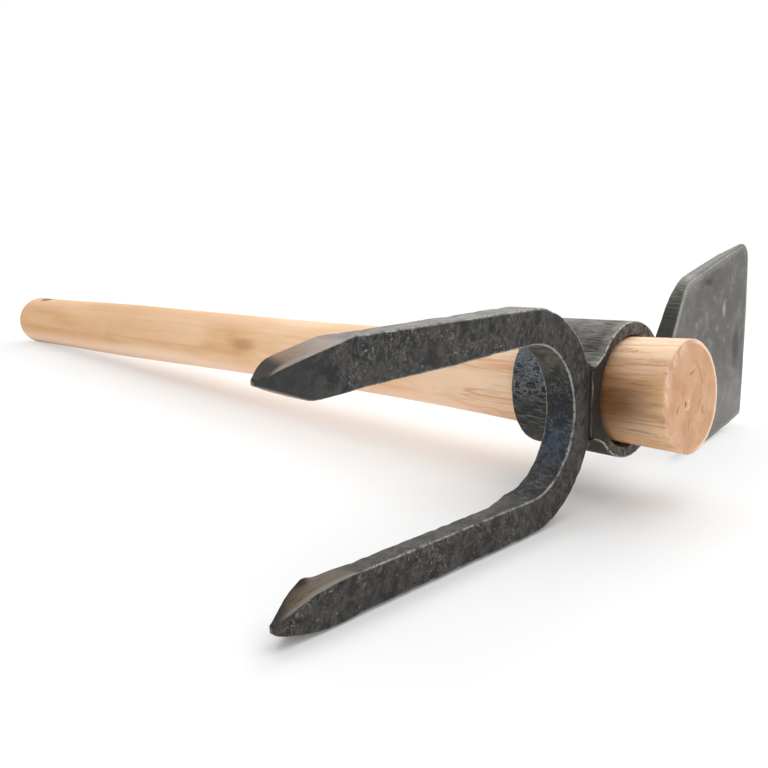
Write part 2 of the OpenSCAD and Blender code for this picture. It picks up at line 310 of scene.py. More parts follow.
class Sock:
    """A shader socket that takes part in Python expressions."""

    def __init__(self, shader: "Shader", socket: bpy.types.NodeSocket) -> None:
        """Keeps the socket and the shader that it belongs to."""
        self.shader = shader
        self.socket = socket

    def _math(self, operation: str, *values: Number) -> "Sock":
        """One Math node on this socket's shader."""
        return self.shader.node("ShaderNodeMath", {"operation": operation}, dict(enumerate(values)))

    def __add__(self, other: Number) -> "Sock":
        """The sum of two values."""
        return self._math("ADD", self, other)

    __radd__ = __add__

    def __sub__(self, other: Number) -> "Sock":
        """The difference of two values."""
        return self._math("SUBTRACT", self, other)

    def __rsub__(self, other: Number) -> "Sock":
        """A number less this value."""
        return self._math("SUBTRACT", other, self)

    def __mul__(self, other: Number) -> "Sock":
        """The product of two values."""
        return self._math("MULTIPLY", self, other)

    __rmul__ = __mul__

    def __truediv__(self, other: Number) -> "Sock":
        """The quotient of two values."""
        return self._math("DIVIDE", self, other)

    def __rtruediv__(self, other: Number) -> "Sock":
        """A number divided by this value."""
        return self._math("DIVIDE", other, self)

    def root(self) -> "Sock":
        """The square root."""
        return self._math("SQRT", self)

    def size(self) -> "Sock":
        """The value without its sign."""
        return self._math("ABSOLUTE", self)

    def exp(self) -> "Sock":
        """The exponential of the value."""
        return self._math("EXPONENT", self)

    def wave(self) -> "Sock":
        """A sine wave of the value, in radians, from 0 to 1."""
        return self._math("SINE", self) * 0.5 + 0.5

    def most(self, other: Number) -> "Sock":
        """The larger of two values."""
        return self._math("MAXIMUM", self, other)

    def ease(self, start: float, end: float) -> "Sock":
        """A smooth change from 0 at a starting value to 1 at an end, above the start or below it."""
        out = self.shader.node(
            "ShaderNodeMapRange",
            {"interpolation_type": "SMOOTHSTEP"},
            {"Value": self, "From Min": min(start, end), "From Max": max(start, end)},
        )
        return 1.0 - out if start > end else out

    def near(self, level: float, outer: float, inner: float) -> "Sock":
        """1 where the value is within the inner distance of a level, 0 past the outer one."""
        return (self - level).size().ease(outer, inner)


class Shader:
    """Builds the nodes of one material or world."""

    def __init__(self, owner: Union[bpy.types.Material, bpy.types.World]) -> None:
        """Starts the owner's nodes afresh.

        Args:
            owner: The material or world.
        """
        owner.use_nodes = True
        self.owner = owner
        self.tree = owner.node_tree
        self.tree.nodes.clear()

    def node(
        self,
        kind: str,
        settings: Optional[Dict[str, object]] = None,
        inputs: Optional[Dict[Union[int, str], Value]] = None,
        output: Union[int, str] = 0,
    ) -> Optional[Sock]:
        """Adds a node.

        Args:
            kind: The node's type.
            settings: Its properties, set first.
            inputs: Values or links for its sockets, by name or number.
            output: The output that is wanted.

        Returns:
            That output, or None where the node has no outputs.
        """
        made = self.tree.nodes.new(kind)
        for key, value in (settings or {}).items():
            setattr(made, key, value)
        for key, value in (inputs or {}).items():
            socket = made.inputs[key]
            if isinstance(value, Sock):
                self.tree.links.new(value.socket, socket)
            elif isinstance(value, tuple) and len(value) < len(socket.default_value):
                socket.default_value = value + (1.0,)
            else:
                socket.default_value = value
        return Sock(self, made.outputs[output]) if made.outputs else None

    def parts(self, vector: Sock) -> Tuple[Sock, ...]:
        """The three numbers of a vector."""
        split = self.node("ShaderNodeSeparateXYZ", {}, {0: vector}).socket.node
        return tuple(Sock(self, number) for number in split.outputs)

    def ray(self, kind: str) -> Sock:
        """1 for light rays of a kind, and 0 for others."""
        return self.node("ShaderNodeLightPath", output=f"Is {kind} Ray")

    def white(self, kind: str, strength: float) -> Sock:
        """White light given off by a surface or by the world."""
        return self.node(f"ShaderNode{kind}", {}, {"Color": (1.0, 1.0, 1.0), "Strength": strength})

    def mix(self, share: Number, first: Sock, second: Sock) -> Sock:
        """A surface between two surfaces."""
        return self.node("ShaderNodeMixShader", {}, {0: share, 1: first, 2: second})

    def blend(self, share: Number, first: Value, second: Value) -> Sock:
        """A colour between two colours."""
        return self.node("ShaderNodeMix", {"data_type": "RGBA"}, {0: share, 6: first, 7: second}, 2)

    def layers(self, colour: Value, *over: Tuple[Number, Value]) -> Sock:
        """A colour with others laid over it in turn, each given as its share and its colour."""
        for share, other in over:
            colour = self.blend(share, colour, other)
        return colour

    @staticmethod
    def far(a: Sock, a0: float, b: Sock, b0: float, b_unit: float = 1.0) -> Sock:
        """The distance of (a, b) from the point (a0, b0), measured along b in a unit of its own."""
        da, db = a - a0, (b - b0) / b_unit
        return (da * da + db * db).root()


class Surface(Shader):
    """Builds one finish. Its places are in mm in the tool's axes, as one point and as h, t, w."""

    def __init__(self, name: str) -> None:
        """Starts a material that knows the place in the tool's axes.

        Args:
            name: The material's name.
        """
        super().__init__(bpy.data.materials.new(name))
        back = AXES.rotation().T @ np.array([AXES.mid_x, AXES.mid_y, -AXES.lift])
        self.point = self.node(
            "ShaderNodeMapping",
            {"vector_type": "POINT"},
            {
                "Vector": self.node("ShaderNodeTexCoord", output="Object"),
                "Location": tuple(float(v) for v in back),
                "Rotation": (0.0, -AXES.lean, 0.0),
                "Scale": (1 / MM,) * 3,
            },
        )
        self.h, self.t, self.w = self.parts(self.point)

    def marks(self, *names: str) -> List[Sock]:
        """Numbers stored on the mesh."""
        kind = "ShaderNodeAttribute"
        return [self.node(kind, {"attribute_name": name}, output="Fac") for name in names]

    def noise(
        self,
        scale: Union[float, Triple],
        detail: float = 2.0,
        rough: float = 0.5,
        twist: float = 0.0,
        point: Optional[Sock] = None,
    ) -> Sock:
        """Noise from 0 to 1.

        Args:
            scale: How many grains there are to a mm, all ways alike or along each axis.
            detail: How many finer noises are added.
            rough: How strong each is beside the one before.
            twist: How much the grains are bent.
            point: The place, where it isn't the one in the tool's axes.

        Returns:
            The noise.
        """
        point = point or self.point
        if isinstance(scale, tuple):
            point = self.node("ShaderNodeVectorMath", {"operation": "MULTIPLY"}, {0: point, 1: scale})
            scale = 1.0
        inputs = {"Vector": point, "Scale": scale, "Detail": detail, "Roughness": rough}
        inputs["Distortion"] = twist
        return self.node("ShaderNodeTexNoise", {"noise_dimensions": "3D"}, inputs, "Fac")

    def close(self, height: Sock, depth: float, strength: float, **sockets: Value) -> bpy.types.Material:
        """Ends the material with a Principled shader.

        Args:
            height: The relief, as a share of its depth.
            depth: That depth in mm.
            strength: How much of the relief shows.
            sockets: The shader's other sockets, with underscores in place of spaces.

        Returns:
            The material.
        """
        inputs = {key.replace("_", " "): value for key, value in sockets.items()}
        bump = {"Height": height, "Distance": depth * MM, "Strength": strength}
        inputs["Normal"] = self.node("ShaderNodeBump", {}, bump)
        skin = self.node("ShaderNodeBsdfPrincipled", {}, inputs)
        self.node("ShaderNodeOutputMaterial", {}, {"Surface": skin})
        return self.owner


def paint(red: int, green: int, blue: int) -> Triple:
    """A colour given as it looks on a screen, from 0 to 255, in the renderer's linear form."""
    shares = (red / 255, green / 255, blue / 255)
    return tuple(v / 12.92 if v <= 0.04045 else ((v + 0.055) / 1.055) ** 2.4 for v in shares)


STEEL = {"Metallic": 0.30, "Specular_IOR_Level": 0.45}


# The finishes, with places in mm along h, t and w, and noises and shares from 0 to 1


@dataclass(frozen=True)
class ForgeScale:
    """Dark forging scale with pale flecks, pale edges that are partly worn and partly painted highlight,
    and ground tips, for the fork.
    """

    dark: Triple = paint(37, 36, 36)
    dark_brown: Triple = paint(38, 33, 30)
    pale: Triple = paint(79, 77, 74)
    fleck: Triple = paint(130, 127, 123)
    bright: Triple = paint(170, 168, 164)
    tip_skin: Triple = paint(50, 52, 53)
    edge: Triple = paint(196, 191, 182)
    # paler greys of the faces other than the front, partly their own tone and partly painted light from
    # above
    side: Triple = paint(113, 111, 108)
    side_light: Triple = paint(152, 149, 145)
    olive: Triple = paint(84, 82, 70)
    black: Triple = paint(36, 37, 36)
    blue: Triple = paint(60, 72, 86)
    bend_low: Triple = paint(58, 58, 56)
    ground: Triple = paint(162, 149, 140)
    ground_brown: Triple = paint(132, 108, 86)
    facet: Triple = paint(29, 22, 23)
    ground_low: Triple = paint(84, 72, 54)
    wrinkle: Triple = paint(112, 116, 120)
    front_place: float = 20.9
    stripe_slant: float = 0.22
    stripe_scale: float = 2.6

    def bend(self, s: Surface, mottle: Sock) -> Sock:
        """The hollow of the bend, olive above and blue below, with pale wrinkles.

        Args:
            s: The finish.
            mottle: Its middle noise.

        Returns:
            The colour.
        """
        wrinkle = s.noise((0.34, 0.34, 0.44), 3.0, 0.6, 1.6).near(0.5, 0.040, 0.008)
        return s.layers(
            self.black,
            (s.w.ease(4.0, -12.0), self.blue),
            (s.w.ease(6.0, 15.0), self.olive),
            (s.w.ease(-11.0, -19.0) * 0.85, self.bend_low),
            (mottle.ease(0.54, 0.40) * 0.75, self.black),
            (wrinkle * mottle.ease(0.40, 0.56) * 0.7, self.wrinkle),
        )

    def cut(self, s: Surface, stripe: Sock, low: Sock) -> Sock:
        """The ground faces, striped by the wheel and darker on the lower tine.

        Args:
            s: The finish.
            stripe: The stripes.
            low: How far down the head a place is.

        Returns:
            The colour.
        """
        return s.layers(
            self.ground,
            (s.t.ease(134.0, 149.0), self.ground_brown),
            (stripe.ease(0.46, 0.66) * 0.6, self.ground_brown),
            (stripe.ease(0.46, 0.34) * 0.35, self.facet),
            (low * 0.8, self.ground_low),
            (low * stripe.ease(0.52, 0.40) * 0.4, self.facet),
            ((s.h - self.front_place).ease(1.8, 0.6) * 0.35, self.side_light),
        )

    def make(self) -> bpy.types.Material:
        """Builds the material.

        Returns:
            The material.
        """
        s = Surface("forge_scale")
        h, t, w = s.h, s.t, s.w
        front, inner, outer, edge = s.marks("front", "inner", "outer", "edge")
        ground, facet = s.marks("ground", "facet")
        cloud = s.noise(0.07, 3.0, 0.6)
        mottle = s.noise(0.30, 5.0, 0.70, 0.8)
        pebble = s.noise(0.85, 5.0, 0.75, 0.9)
        scratch = s.noise((2.2, 2.2, 0.42), 3.0, 0.7, 0.6)
        along = t * self.stripe_slant
        slant = s.node("ShaderNodeCombineXYZ", {}, {0: (h - along) * self.stripe_scale, 1: along})
        stripe = s.noise(1.0, 3.0, 0.6, point=slant)
        low = w.ease(2.0, -14.0)
        deep = pebble.ease(0.44, 0.34)
        clean = t.ease(134.0, 146.0) * (1.0 - low)
        flecks = pebble.ease(0.54, 0.63) * s.noise(0.11).ease(0.34, 0.56) * t.ease(50.0, 70.0)
        flecks = flecks * (1.0 - clean * 0.75)
        by_seam = t.ease(30.5, 26.8) * (h - self.front_place).ease(2.0, 0.5)
        dark = s.blend(low, self.dark, self.dark_brown)
        face = s.layers(
            dark,
            (mottle.ease(0.40, 0.62), self.pale),
            (cloud.ease(0.48, 0.66) * 0.30, self.pale),
            (flecks * 0.85, self.fleck),
            (flecks * pebble.ease(0.62, 0.70) * 0.7, self.bright),
            (scratch.ease(0.57, 0.66) * t.ease(100.0, 64.0) * 0.65, self.fleck),
            (deep * 0.7, dark),
            (clean * 0.7, self.tip_skin),
            (front * by_seam * 0.75, self.dark_brown),
        )
        worn = s.blend(mottle.ease(0.40, 0.62), self.dark, self.pale)
        # The other faces: a paler grey, partly their own and partly painted light from above; the lower
        # tine's underside gets painted shade.
        sides = s.layers(
            self.side,
            (mottle.ease(0.3, 0.7), self.side_light),
            (cloud.ease(0.5, 0.66) * 0.4, self.pale),
            (w.ease(-8.0, -18.0) * inner * 0.85, worn),
            # painted shade on the lower tine's underside
            (w.ease(-27.0, -32.0) * outer * 0.85, self.dark),
            (deep * edge.ease(2.4, 0.8) * 0.8, self.dark),
        )
        in_bend = inner * t.ease(66.0, 54.0)
        by_tip = t.ease(124.0, 134.0)
        # The pale edges: partly worn steel, partly painted highlight.
        near_edge = edge + by_tip * 0.35 - t.ease(64.0, 52.0) * 0.10 + s.noise(0.9, 3.0, 0.7) * 1.3
        rub_and_highlight = near_edge.ease(1.28, 0.80) * s.noise(0.45).ease(0.36, 0.48)
        rub_and_highlight = rub_and_highlight * (1.0 - facet * 0.8) * (1.0 - deep * 0.8) * (1.0 - w.ease(-27.0, -31.0) * 0.8)
        colour = s.layers(
            sides,
            (front, face),
            (in_bend, self.bend(s, mottle)),
            (ground, self.cut(s, stripe, low)),
            (facet * 0.96, self.facet),
            (rub_and_highlight * (0.66 - by_tip * 0.36), self.edge),
        )
        relief = mottle * 0.35 + pebble * 0.55 + scratch * 0.25 * t.ease(96.0, 60.0)
        quiet = 1.0 - (ground * 0.85).most((1.0 - front) * (1.0 - in_bend) * 0.7)
        relief = relief * quiet + stripe * ground * 0.12
        rough = 0.60 - ground * 0.16 + facet * 0.15 + mottle * 0.12 - flecks * 0.12
        return s.close(relief, 0.55, 0.85, Base_Color=colour, Roughness=rough, **STEEL)


@dataclass(frozen=True)
class RingSteel:
    """Dark rolled steel with fine lines along the ring."""

    dark: Triple = paint(54, 53, 50)
    pale: Triple = paint(122, 120, 112)
    light: Triple = paint(156, 154, 145)
    rim: Triple = paint(108, 103, 97)
    rim_dark: Triple = paint(43, 39, 35)
    edge: Triple = paint(198, 194, 184)
    blue: Triple = paint(70, 79, 92)
    crease: Triple = paint(146, 151, 156)
    black: Triple = paint(34, 35, 35)

    def in_fork(self, s: Surface, cloud: Sock, grain: Sock) -> Sock:
        """The ring where the fork holds it, blue and creased above, black and lined below.

        Args:
            s: The finish.
            cloud: Its broad noise.
            grain: Its fine lines.

        Returns:
            The colour.
        """
        fold = s.noise((0.18, 0.46, 0.46), 3.0, 0.58, 1.6)
        crease = fold.near(0.5, 0.036, 0.008) + fold.near(0.60, 0.036, 0.008)
        lines = (grain.ease(0.42, 0.64) * 0.9, self.dark), (grain.ease(0.54, 0.64) * 0.8, self.pale)
        return s.layers(
            self.dark,
            (s.w.ease(-2.0, 9.0), self.blue),
            (cloud.ease(0.52, 0.38) * 0.8, self.black),
            (fold.ease(0.52, 0.40) * 0.8, self.black),
            (s.w.ease(3.0, -9.0) * 0.55, self.black),
            (crease * 0.74, self.crease),
            (s.w.ease(2.0, -7.0) * 0.8, s.layers(self.black, *lines)),
        )

    def make(self) -> bpy.types.Material:
        """Builds the material.

        Returns:
            The material.
        """
        s = Surface("ring_steel")
        h, t, w = s.h, s.t, s.w
        edge, rim, seam = s.marks("edge", "rim", "seam")
        cloud = s.noise(0.10, 4.0, 0.6)
        grain = s.noise((0.16, 1.5, 1.5), 4.0, 0.65, 0.3)
        deep = s.noise((0.10, 1.0, 1.0), 2.0, 0.5, 0.6).ease(0.60, 0.67)
        flake = s.noise((0.36, 0.45, 0.45), 4.0, 0.66, 0.8)
        mouth = s.layers(
            self.rim_dark,
            (flake.ease(0.34, 0.60), self.rim),
            (flake.ease(0.60, 0.70) * 0.5, self.light),
            (t.ease(8.0, 18.0) * 0.95, self.rim_dark),
        )
        broken = s.noise((0.8, 0.8, 0.2), 4.0, 0.7).ease(0.51, 0.62)
        broken = broken * (w.ease(-1.0, 4.0) + w.ease(-7.0, -10.0))
        # The pale edges: partly worn steel, partly painted highlight.
        near_edge = edge + s.noise(0.9, 3.0, 0.7) * 0.9
        rub_and_highlight = near_edge.ease(0.96, 0.58) * s.noise(0.4).ease(0.34, 0.48)
        rub_and_highlight = rub_and_highlight * (1.0 - t.ease(21.0, 23.5) * (0.94 - broken * 0.42))
        held = t.ease(8.0, 15.0) * h.ease(30.5, 33.0) * w.ease(14.0, 9.0)
        colour = s.layers(
            self.dark,
            (cloud.ease(0.34, 0.66), self.pale),
            (grain.ease(0.44, 0.66) * 0.75, self.pale),
            (grain.ease(0.62, 0.72) * 0.6, self.light),
            (grain.ease(0.42, 0.32) * 0.7, self.dark),
            (deep * 0.85, self.dark),
            (h.ease(24.5, 21.5) * 0.35, self.light),
            # painted shade on the ring's underside next to the fork
            (w.ease(-9.5, -13.0) * t.ease(7.0, 12.0) * 0.8, self.black),
            (held, self.in_fork(s, cloud, grain)),
            (rim, mouth),
            # painted shade on the lip beside the slit
            (t.ease(22.5, 24.5) * h.ease(26.0, 23.0) * 0.9, self.rim_dark),
            # painted shadow along the seam and in the slit
            (seam, self.black),
            (rub_and_highlight * 0.72, self.edge),
        )
        relief = grain * 0.5 + flake * 0.35 - deep * 0.7
        rough = 0.58 + grain * 0.12
        return s.close(relief, 0.5, 0.85, Base_Color=colour, Roughness=rough, **STEEL)


@dataclass(frozen=True)
class BladeSteel:
    """Dull grey plate with faint stains and a pale border that is partly rubbed and partly painted
    highlight, for the hoe blade.

    The stains lie where the photograph shows them. Each has a distance from the handle's axis, a
    place across the blade, a size in mm, and its height as a share of its length.
    """

    plate: Triple = paint(106, 104, 100)
    brown: Triple = paint(97, 94, 90)
    light: Triple = paint(156, 154, 147)
    stain: Triple = paint(66, 64, 61)
    side: Triple = paint(126, 125, 116)
    top_side: Triple = paint(84, 83, 78)
    dark: Triple = paint(46, 47, 44)
    edge: Triple = paint(190, 188, 181)
    smudge: Tuple[float, ...] = (114.0, 1.1, 7.0, 1.8)
    cloud_place: Tuple[float, ...] = (74.5, 30.2, 7.5, 0.28)
    spot: Tuple[float, ...] = (95.5, 18.0, 3.0, 1.5)

    @staticmethod
    def stained(s: Surface, place: Tuple[float, ...]) -> Sock:
        """How much of a stain a place has, from 0 outside it to 1 in its middle."""
        reach, w, size, tall = place
        return (s.far(s.t, -reach, s.w, w, tall) / size).ease(1.0, 0.2)

    def narrow_side(self, s: Surface, reach: Sock, cloud: Sock, file_marks: Sock) -> Sock:
        """The narrow sides, filed at the neck and darker towards the corner.

        Args:
            s: The finish.
            reach: The distance from the handle's axis.
            cloud: The broad noise.
            file_marks: The lines of the file.

        Returns:
            The colour.
        """
        return s.layers(
            self.dark,
            (file_marks.ease(0.36, 0.64), self.side),
            (reach.ease(46.0, 58.0), self.side),
            (cloud.ease(0.5, 0.62) * reach.ease(50.0, 58.0) * 0.4, self.light),
            (reach.ease(52.0, 40.0) * 0.9, self.dark),
            (reach.ease(54.0, 66.0) * 0.8, self.top_side),
        )

    def make(self) -> bpy.types.Material:
        """Builds the material.

        Returns:
            The material.
        """
        s = Surface("blade_steel")
        edge, on_side = s.marks("edge", "strip")
        reach = 0.0 - s.t
        cloud = s.noise(0.06, 4.0, 0.55)
        smear = s.noise((0.3, 0.06, 0.09), 4.0, 0.6, 0.8)
        blotch = s.noise((0.2, 0.11, 0.2), 3.0, 0.6)
        file_marks = s.noise((0.10, 0.9, 1.8), 3.0, 0.7)
        grain = s.noise((0.7, 0.6, 0.4), 4.0, 0.6)
        ragged = blotch * 0.9 + 0.1
        # The pale border and edge lines: partly rubbed steel, partly painted highlight.
        border_and_highlight = (edge + blotch * 2.2).ease(4.4, 3.0) * (1.0 - on_side)
        rub_and_highlight = ((edge - 0.9).size() + s.noise(0.8) * 0.7).ease(0.72, 0.40)
        rub_and_highlight = rub_and_highlight * (1.0 - on_side) * s.noise(0.3).ease(0.36, 0.50)
        colour = s.layers(
            self.plate,
            (cloud.ease(0.36, 0.62), self.brown),
            (smear.ease(0.50, 0.68) * 0.32, self.light),
            (smear.ease(0.48, 0.32) * 0.30, self.stain),
            (blotch.ease(0.54, 0.72) * 0.45, self.light),
            (blotch.ease(0.46, 0.30) * 0.30, self.stain),
            (s.w.ease(-4.0, -26.0) * 0.35, self.light),
            (self.stained(s, self.smudge) * ragged * 1.9, self.stain),
            (self.stained(s, self.cloud_place) * ragged * 1.8, self.stain),
            (self.stained(s, self.spot) * 0.6, self.edge),
            (border_and_highlight * (0.42 + reach.ease(72.0, 58.0) * 0.35), self.light),
            (on_side, self.narrow_side(s, reach, cloud, file_marks)),
            (rub_and_highlight * 0.6, self.edge),
        )
        relief = grain * 0.35 + s.noise(1.6, 3.0) * 0.25 + on_side * file_marks * 0.8
        rough = 0.54 + grain * 0.12
        return s.close(relief, 0.3, 0.7, Base_Color=colour, Roughness=rough, **STEEL)


@dataclass(frozen=True)
class WeldMetal:
    """Rough dark weld metal."""

    dark: Triple = paint(48, 45, 43)
    pale: Triple = paint(104, 98, 92)

    def make(self) -> bpy.types.Material:
        """Builds the material.

        Returns:
            The material.
        """
        s = Surface("weld_metal")
        lumps = s.noise(0.8, 3.0, 0.6)
        colour = s.blend(lumps.ease(0.4, 0.7), self.dark, self.pale)
        return s.close(lumps, 0.6, 0.8, Base_Color=colour, Metallic=0.4, Roughness=0.6 + lumps * 0.15)


@dataclass(frozen=True)
class Pine:
    """Bare turned softwood, with long growth lines and a sawn end."""

    cream: Triple = paint(250, 213, 172)
    tan: Triple = paint(230, 182, 132)
    warm: Triple = paint(214, 160, 116)
    line: Triple = paint(192, 134, 94)
    red: Triple = paint(166, 102, 68)
    end: Triple = paint(219, 173, 137)
    end_deep: Triple = paint(200, 147, 107)
    straw: Triple = paint(248, 216, 180)
    fibre: Triple = paint(243, 204, 180)
    # painted shade inside the lathe pit and the hanging hole
    hollow: Triple = paint(104, 76, 50)
    torn_rim: Triple = paint(242, 206, 184)
    bow_line: Triple = paint(192, 134, 88)
    crack: Triple = paint(178, 114, 68)
    shade: Triple = paint(98, 62, 36)
    # pale wood tone, also used for painted light on the handle's sides and a painted highlight on the sawn
    # end's rim
    pale_and_lit: Triple = paint(255, 224, 198)
    # a darker tan for the far handle, except its lower side
    far_tan: Triple = paint(212, 162, 112)
    amber: Triple = paint(220, 156, 104)
    flame: Triple = paint(186, 128, 86)
    # painted shade next to the ring
    ring_shade: Triple = paint(136, 80, 38)
    lathe_mark: Pair = (3.25, -1.96)
    pith: Pair = (-34.0, 22.0)
    arc_centre: Pair = (-6.0, 2.0)
    bow_centre: Pair = (2.0, 3.0)
    bow_r: float = 10.0
    hole_place: float = 390.0
    knot: Pair = (201.0, 2.1)
    knot_half: float = 4.0
    knot_tall: float = 0.35

    def weather(self, s: Surface, wood: Sock) -> Sock:
        """Adds the knot, the paler and amber stretches, painted light that makes the upper and lower sides
        paler, and a darker tan over the far handle except its lower side.

        Args:
            s: The finish.
            wood: The colour so far.

        Returns:
            The new colour.
        """
        h, t, w = s.h, s.t, s.w
        off_knot = s.far(w, self.knot[1], h, self.knot[0], 1 / self.knot_tall) / self.knot_half
        streak = s.noise((0.008, 0.26, 0.26), 2.0, 0.5, 0.3)
        veins = streak.near(0.5, 0.036, 0.006) + streak.near(0.62, 0.024, 0.006)
        veins = veins.most(streak.ease(0.54, 0.60) * 0.8)
        # painted light: the upper and lower sides made paler, as if lit from above and from the floor
        sides = w.ease(6.0, 11.0) + w.ease(-6.0, -11.0) * h.ease(60.0, 90.0) * 1.6
        sides = sides + w.ease(-2.5, -6.5) * h.ease(180.0, 250.0) * 1.5
        return s.layers(
            wood,
            (off_knot.ease(1.0, 0.2) * t.ease(6.0, 11.0) * 0.45, self.red),
            (h.ease(135.0, 85.0) * h.ease(48.0, 60.0) * 0.52, self.pale_and_lit),
            (veins * h.ease(150.0, 70.0) * h.ease(46.0, 60.0) * 0.6, self.amber),
            (sides * t.ease(-4.0, 4.0) * 0.38, self.pale_and_lit),
            (h.ease(190.0, 300.0) * w.ease(-8.0, -2.5) * 0.44, self.far_tan),
        )

    def stub(self, s: Surface, wood: Sock) -> Sock:
        """Adds the flamed grain of the stub, and painted shade: a brown band along its side towards the
        fork and a warm dark shade next to the ring.

        Args:
            s: The finish.
            wood: The colour so far.

        Returns:
            The new colour.
        """
        h, t, w = s.h, s.t, s.w
        on_stub = h.ease(60.0, 30.0)
        lick = s.noise((0.018, 0.50, 0.50), 4.0, 0.62, 0.5)
        # painted shade along the middle of the stub's side towards the fork, strongest near the ring
        band = ((w + 1.0) * (w + 1.0) / -84.0).exp()
        shaded = band * h.ease(-3.0, 15.0) * on_stub * t.ease(4.0, 14.0)
        # painted shade next to the ring
        by_ring = h.ease(10.0, 21.0) * h.ease(40.0, 30.0) * w.ease(17.0, 3.0) * w.ease(-17.0, -6.0)
        return s.layers(
            wood,
            (lick.ease(0.52, 0.66) * on_stub * 0.40, self.flame),
            (lick.ease(0.45, 0.36) * on_stub * 0.45, self.straw),
            (lick.near(0.56, 0.020, 0.004) * on_stub * 0.6, self.red),
            (shaded * (0.84 + (lick - 0.5) * 0.6), self.shade),
            (by_ring * 0.55, self.ring_shade),
        )

    def sawn_end(self, s: Surface, speck: Sock) -> Sock:
        """The sawn end, with faint year rings, a bowed line, a torn rim and a painted highlight along the
        rim on the blade's side.

        Args:
            s: The finish.
            speck: Its fine noise.

        Returns:
            The colour.
        """
        t, w = s.t, s.w
        arc_t, arc_w = self.arc_centre
        arc = (s.far(t, arc_t, w, arc_w) + s.noise(0.2) * 2.0) * 1.15
        bow_t, bow_w = self.bow_centre
        bow = s.far(t, bow_t, w, bow_w) + s.noise(0.25) * 2.4
        from_axis = s.far(t, 0.0, w, 0.0)
        torn = s.noise(0.30, 3.0).ease(0.44, 0.56) * (0.55 + w.ease(-8.0, 8.0) * 0.45)
        torn = torn * from_axis.ease(13.2, 16.4) * t.ease(-2.0, 8.0)
        return s.layers(
            self.end,
            (s.noise(0.14, 3.0, 0.6).ease(0.35, 0.68) * 0.7, self.end_deep),
            (arc.wave().ease(0.72, 1.0) * 0.07, self.line),
            (bow.near(self.bow_r, 1.1, 0.2) * t.ease(1.0, -4.0) * 0.5, self.bow_line),
            (torn * speck.ease(0.34, 0.54) * 0.85, self.torn_rim),
            (speck.ease(0.62, 0.70) * 0.5, self.fibre),
            # painted highlight along the rim on the blade's side
            (from_axis.ease(16.3, 17.1) * t.ease(2.0, -6.0) * 0.9, self.pale_and_lit),
        )

    def make(self) -> bpy.types.Material:
        """Builds the material.

        Returns:
            The material.
        """
        s = Surface("pine")
        h, t, w = s.h, s.t, s.w
        end, dent = s.marks("end", "dent")
        near_head = h.ease(150.0, 40.0) * 0.55
        ring = s.far(t, self.pith[0], w, self.pith[1]) + s.noise((0.007, 0.05, 0.05)) * 5.0
        ring = ring + s.noise((0.05, 0.4, 0.4)) * 0.9
        late = (ring * 2.3).wave().ease(0.80, 1.0)
        thin = (ring * 5.9).wave().ease(0.86, 1.0)
        strength = s.noise((0.014, 0.12, 0.12)).ease(0.42, 0.66)
        fibres = s.noise((0.045, 2.6, 2.6), 3.0, 0.65)
        split = s.noise((0.09, 1.5, 1.5), 3.0, 0.6, 0.4).ease(0.66, 0.71)
        patchy = s.noise((0.07, 0.30, 0.30), 3.0, 0.6)
        speck = s.noise(0.55, 4.0, 0.75, 0.5)
        wood = s.layers(
            self.cream,
            (s.noise((0.016, 0.09, 0.09), 3.0).ease(0.36, 0.64), self.tan),
            (s.noise(0.04).ease(0.50, 0.70) * 0.25, self.warm),
            (late * (0.14 + strength * 0.5) * (0.45 + near_head * 0.55), self.line),
            (thin * strength * (0.10 + near_head * 0.7), self.red),
            (fibres.ease(0.58, 0.74) * (0.18 + near_head * 0.35), self.line),
            (fibres.ease(0.42, 0.30) * near_head * 0.35, self.cream),
            (split * near_head * (0.8 - h.ease(60.0, 30.0) * 0.4), self.red),
            (patchy.ease(0.56, 0.70) * near_head * 0.45, self.warm),
            (patchy.ease(0.44, 0.32) * near_head * 0.5, self.straw),
        )
        from_mark = s.far(t, self.lathe_mark[0], w, self.lathe_mark[1]) + speck * 0.8
        from_hole = s.far(h, self.hole_place, t, 0.0)
        colour = s.layers(
            self.stub(s, self.weather(s, wood)),
            (end, self.sawn_end(s, speck)),
            (dent.ease(0.0, 0.25) * 0.25, self.straw),
            (dent.ease(0.08, 0.60) * 0.8, self.crack),
            # painted highlight in a pale ring round the lathe pit, and painted shade in its middle
            (from_mark.near(1.9, 0.55, 0.2) * end * 0.75, self.straw),
            (from_mark.ease(1.5, 1.0) * end * 0.8, self.hollow),
            # darker round the hanging hole, and painted shade inside it
            (from_hole.ease(6.0, 3.8) * 0.45, self.shade),
            (from_hole.ease(4.4, 3.7) * 0.9, self.hollow),
        )
        relief = fibres * 0.4 + late * 0.2 - split * 0.5 + s.noise(1.2, 4.0, 0.6) * 0.12
        relief = relief * (1.0 - end) + end * (speck * 0.8 + fibres * 0.1)
        plain = {"Metallic": 0.0, "Roughness": 0.62, "Specular_IOR_Level": 0.3}
        return s.close(relief, 0.25, 0.6, Base_Color=colour, **plain)


# The sub-assemblies, with points in mm in the tool's axes


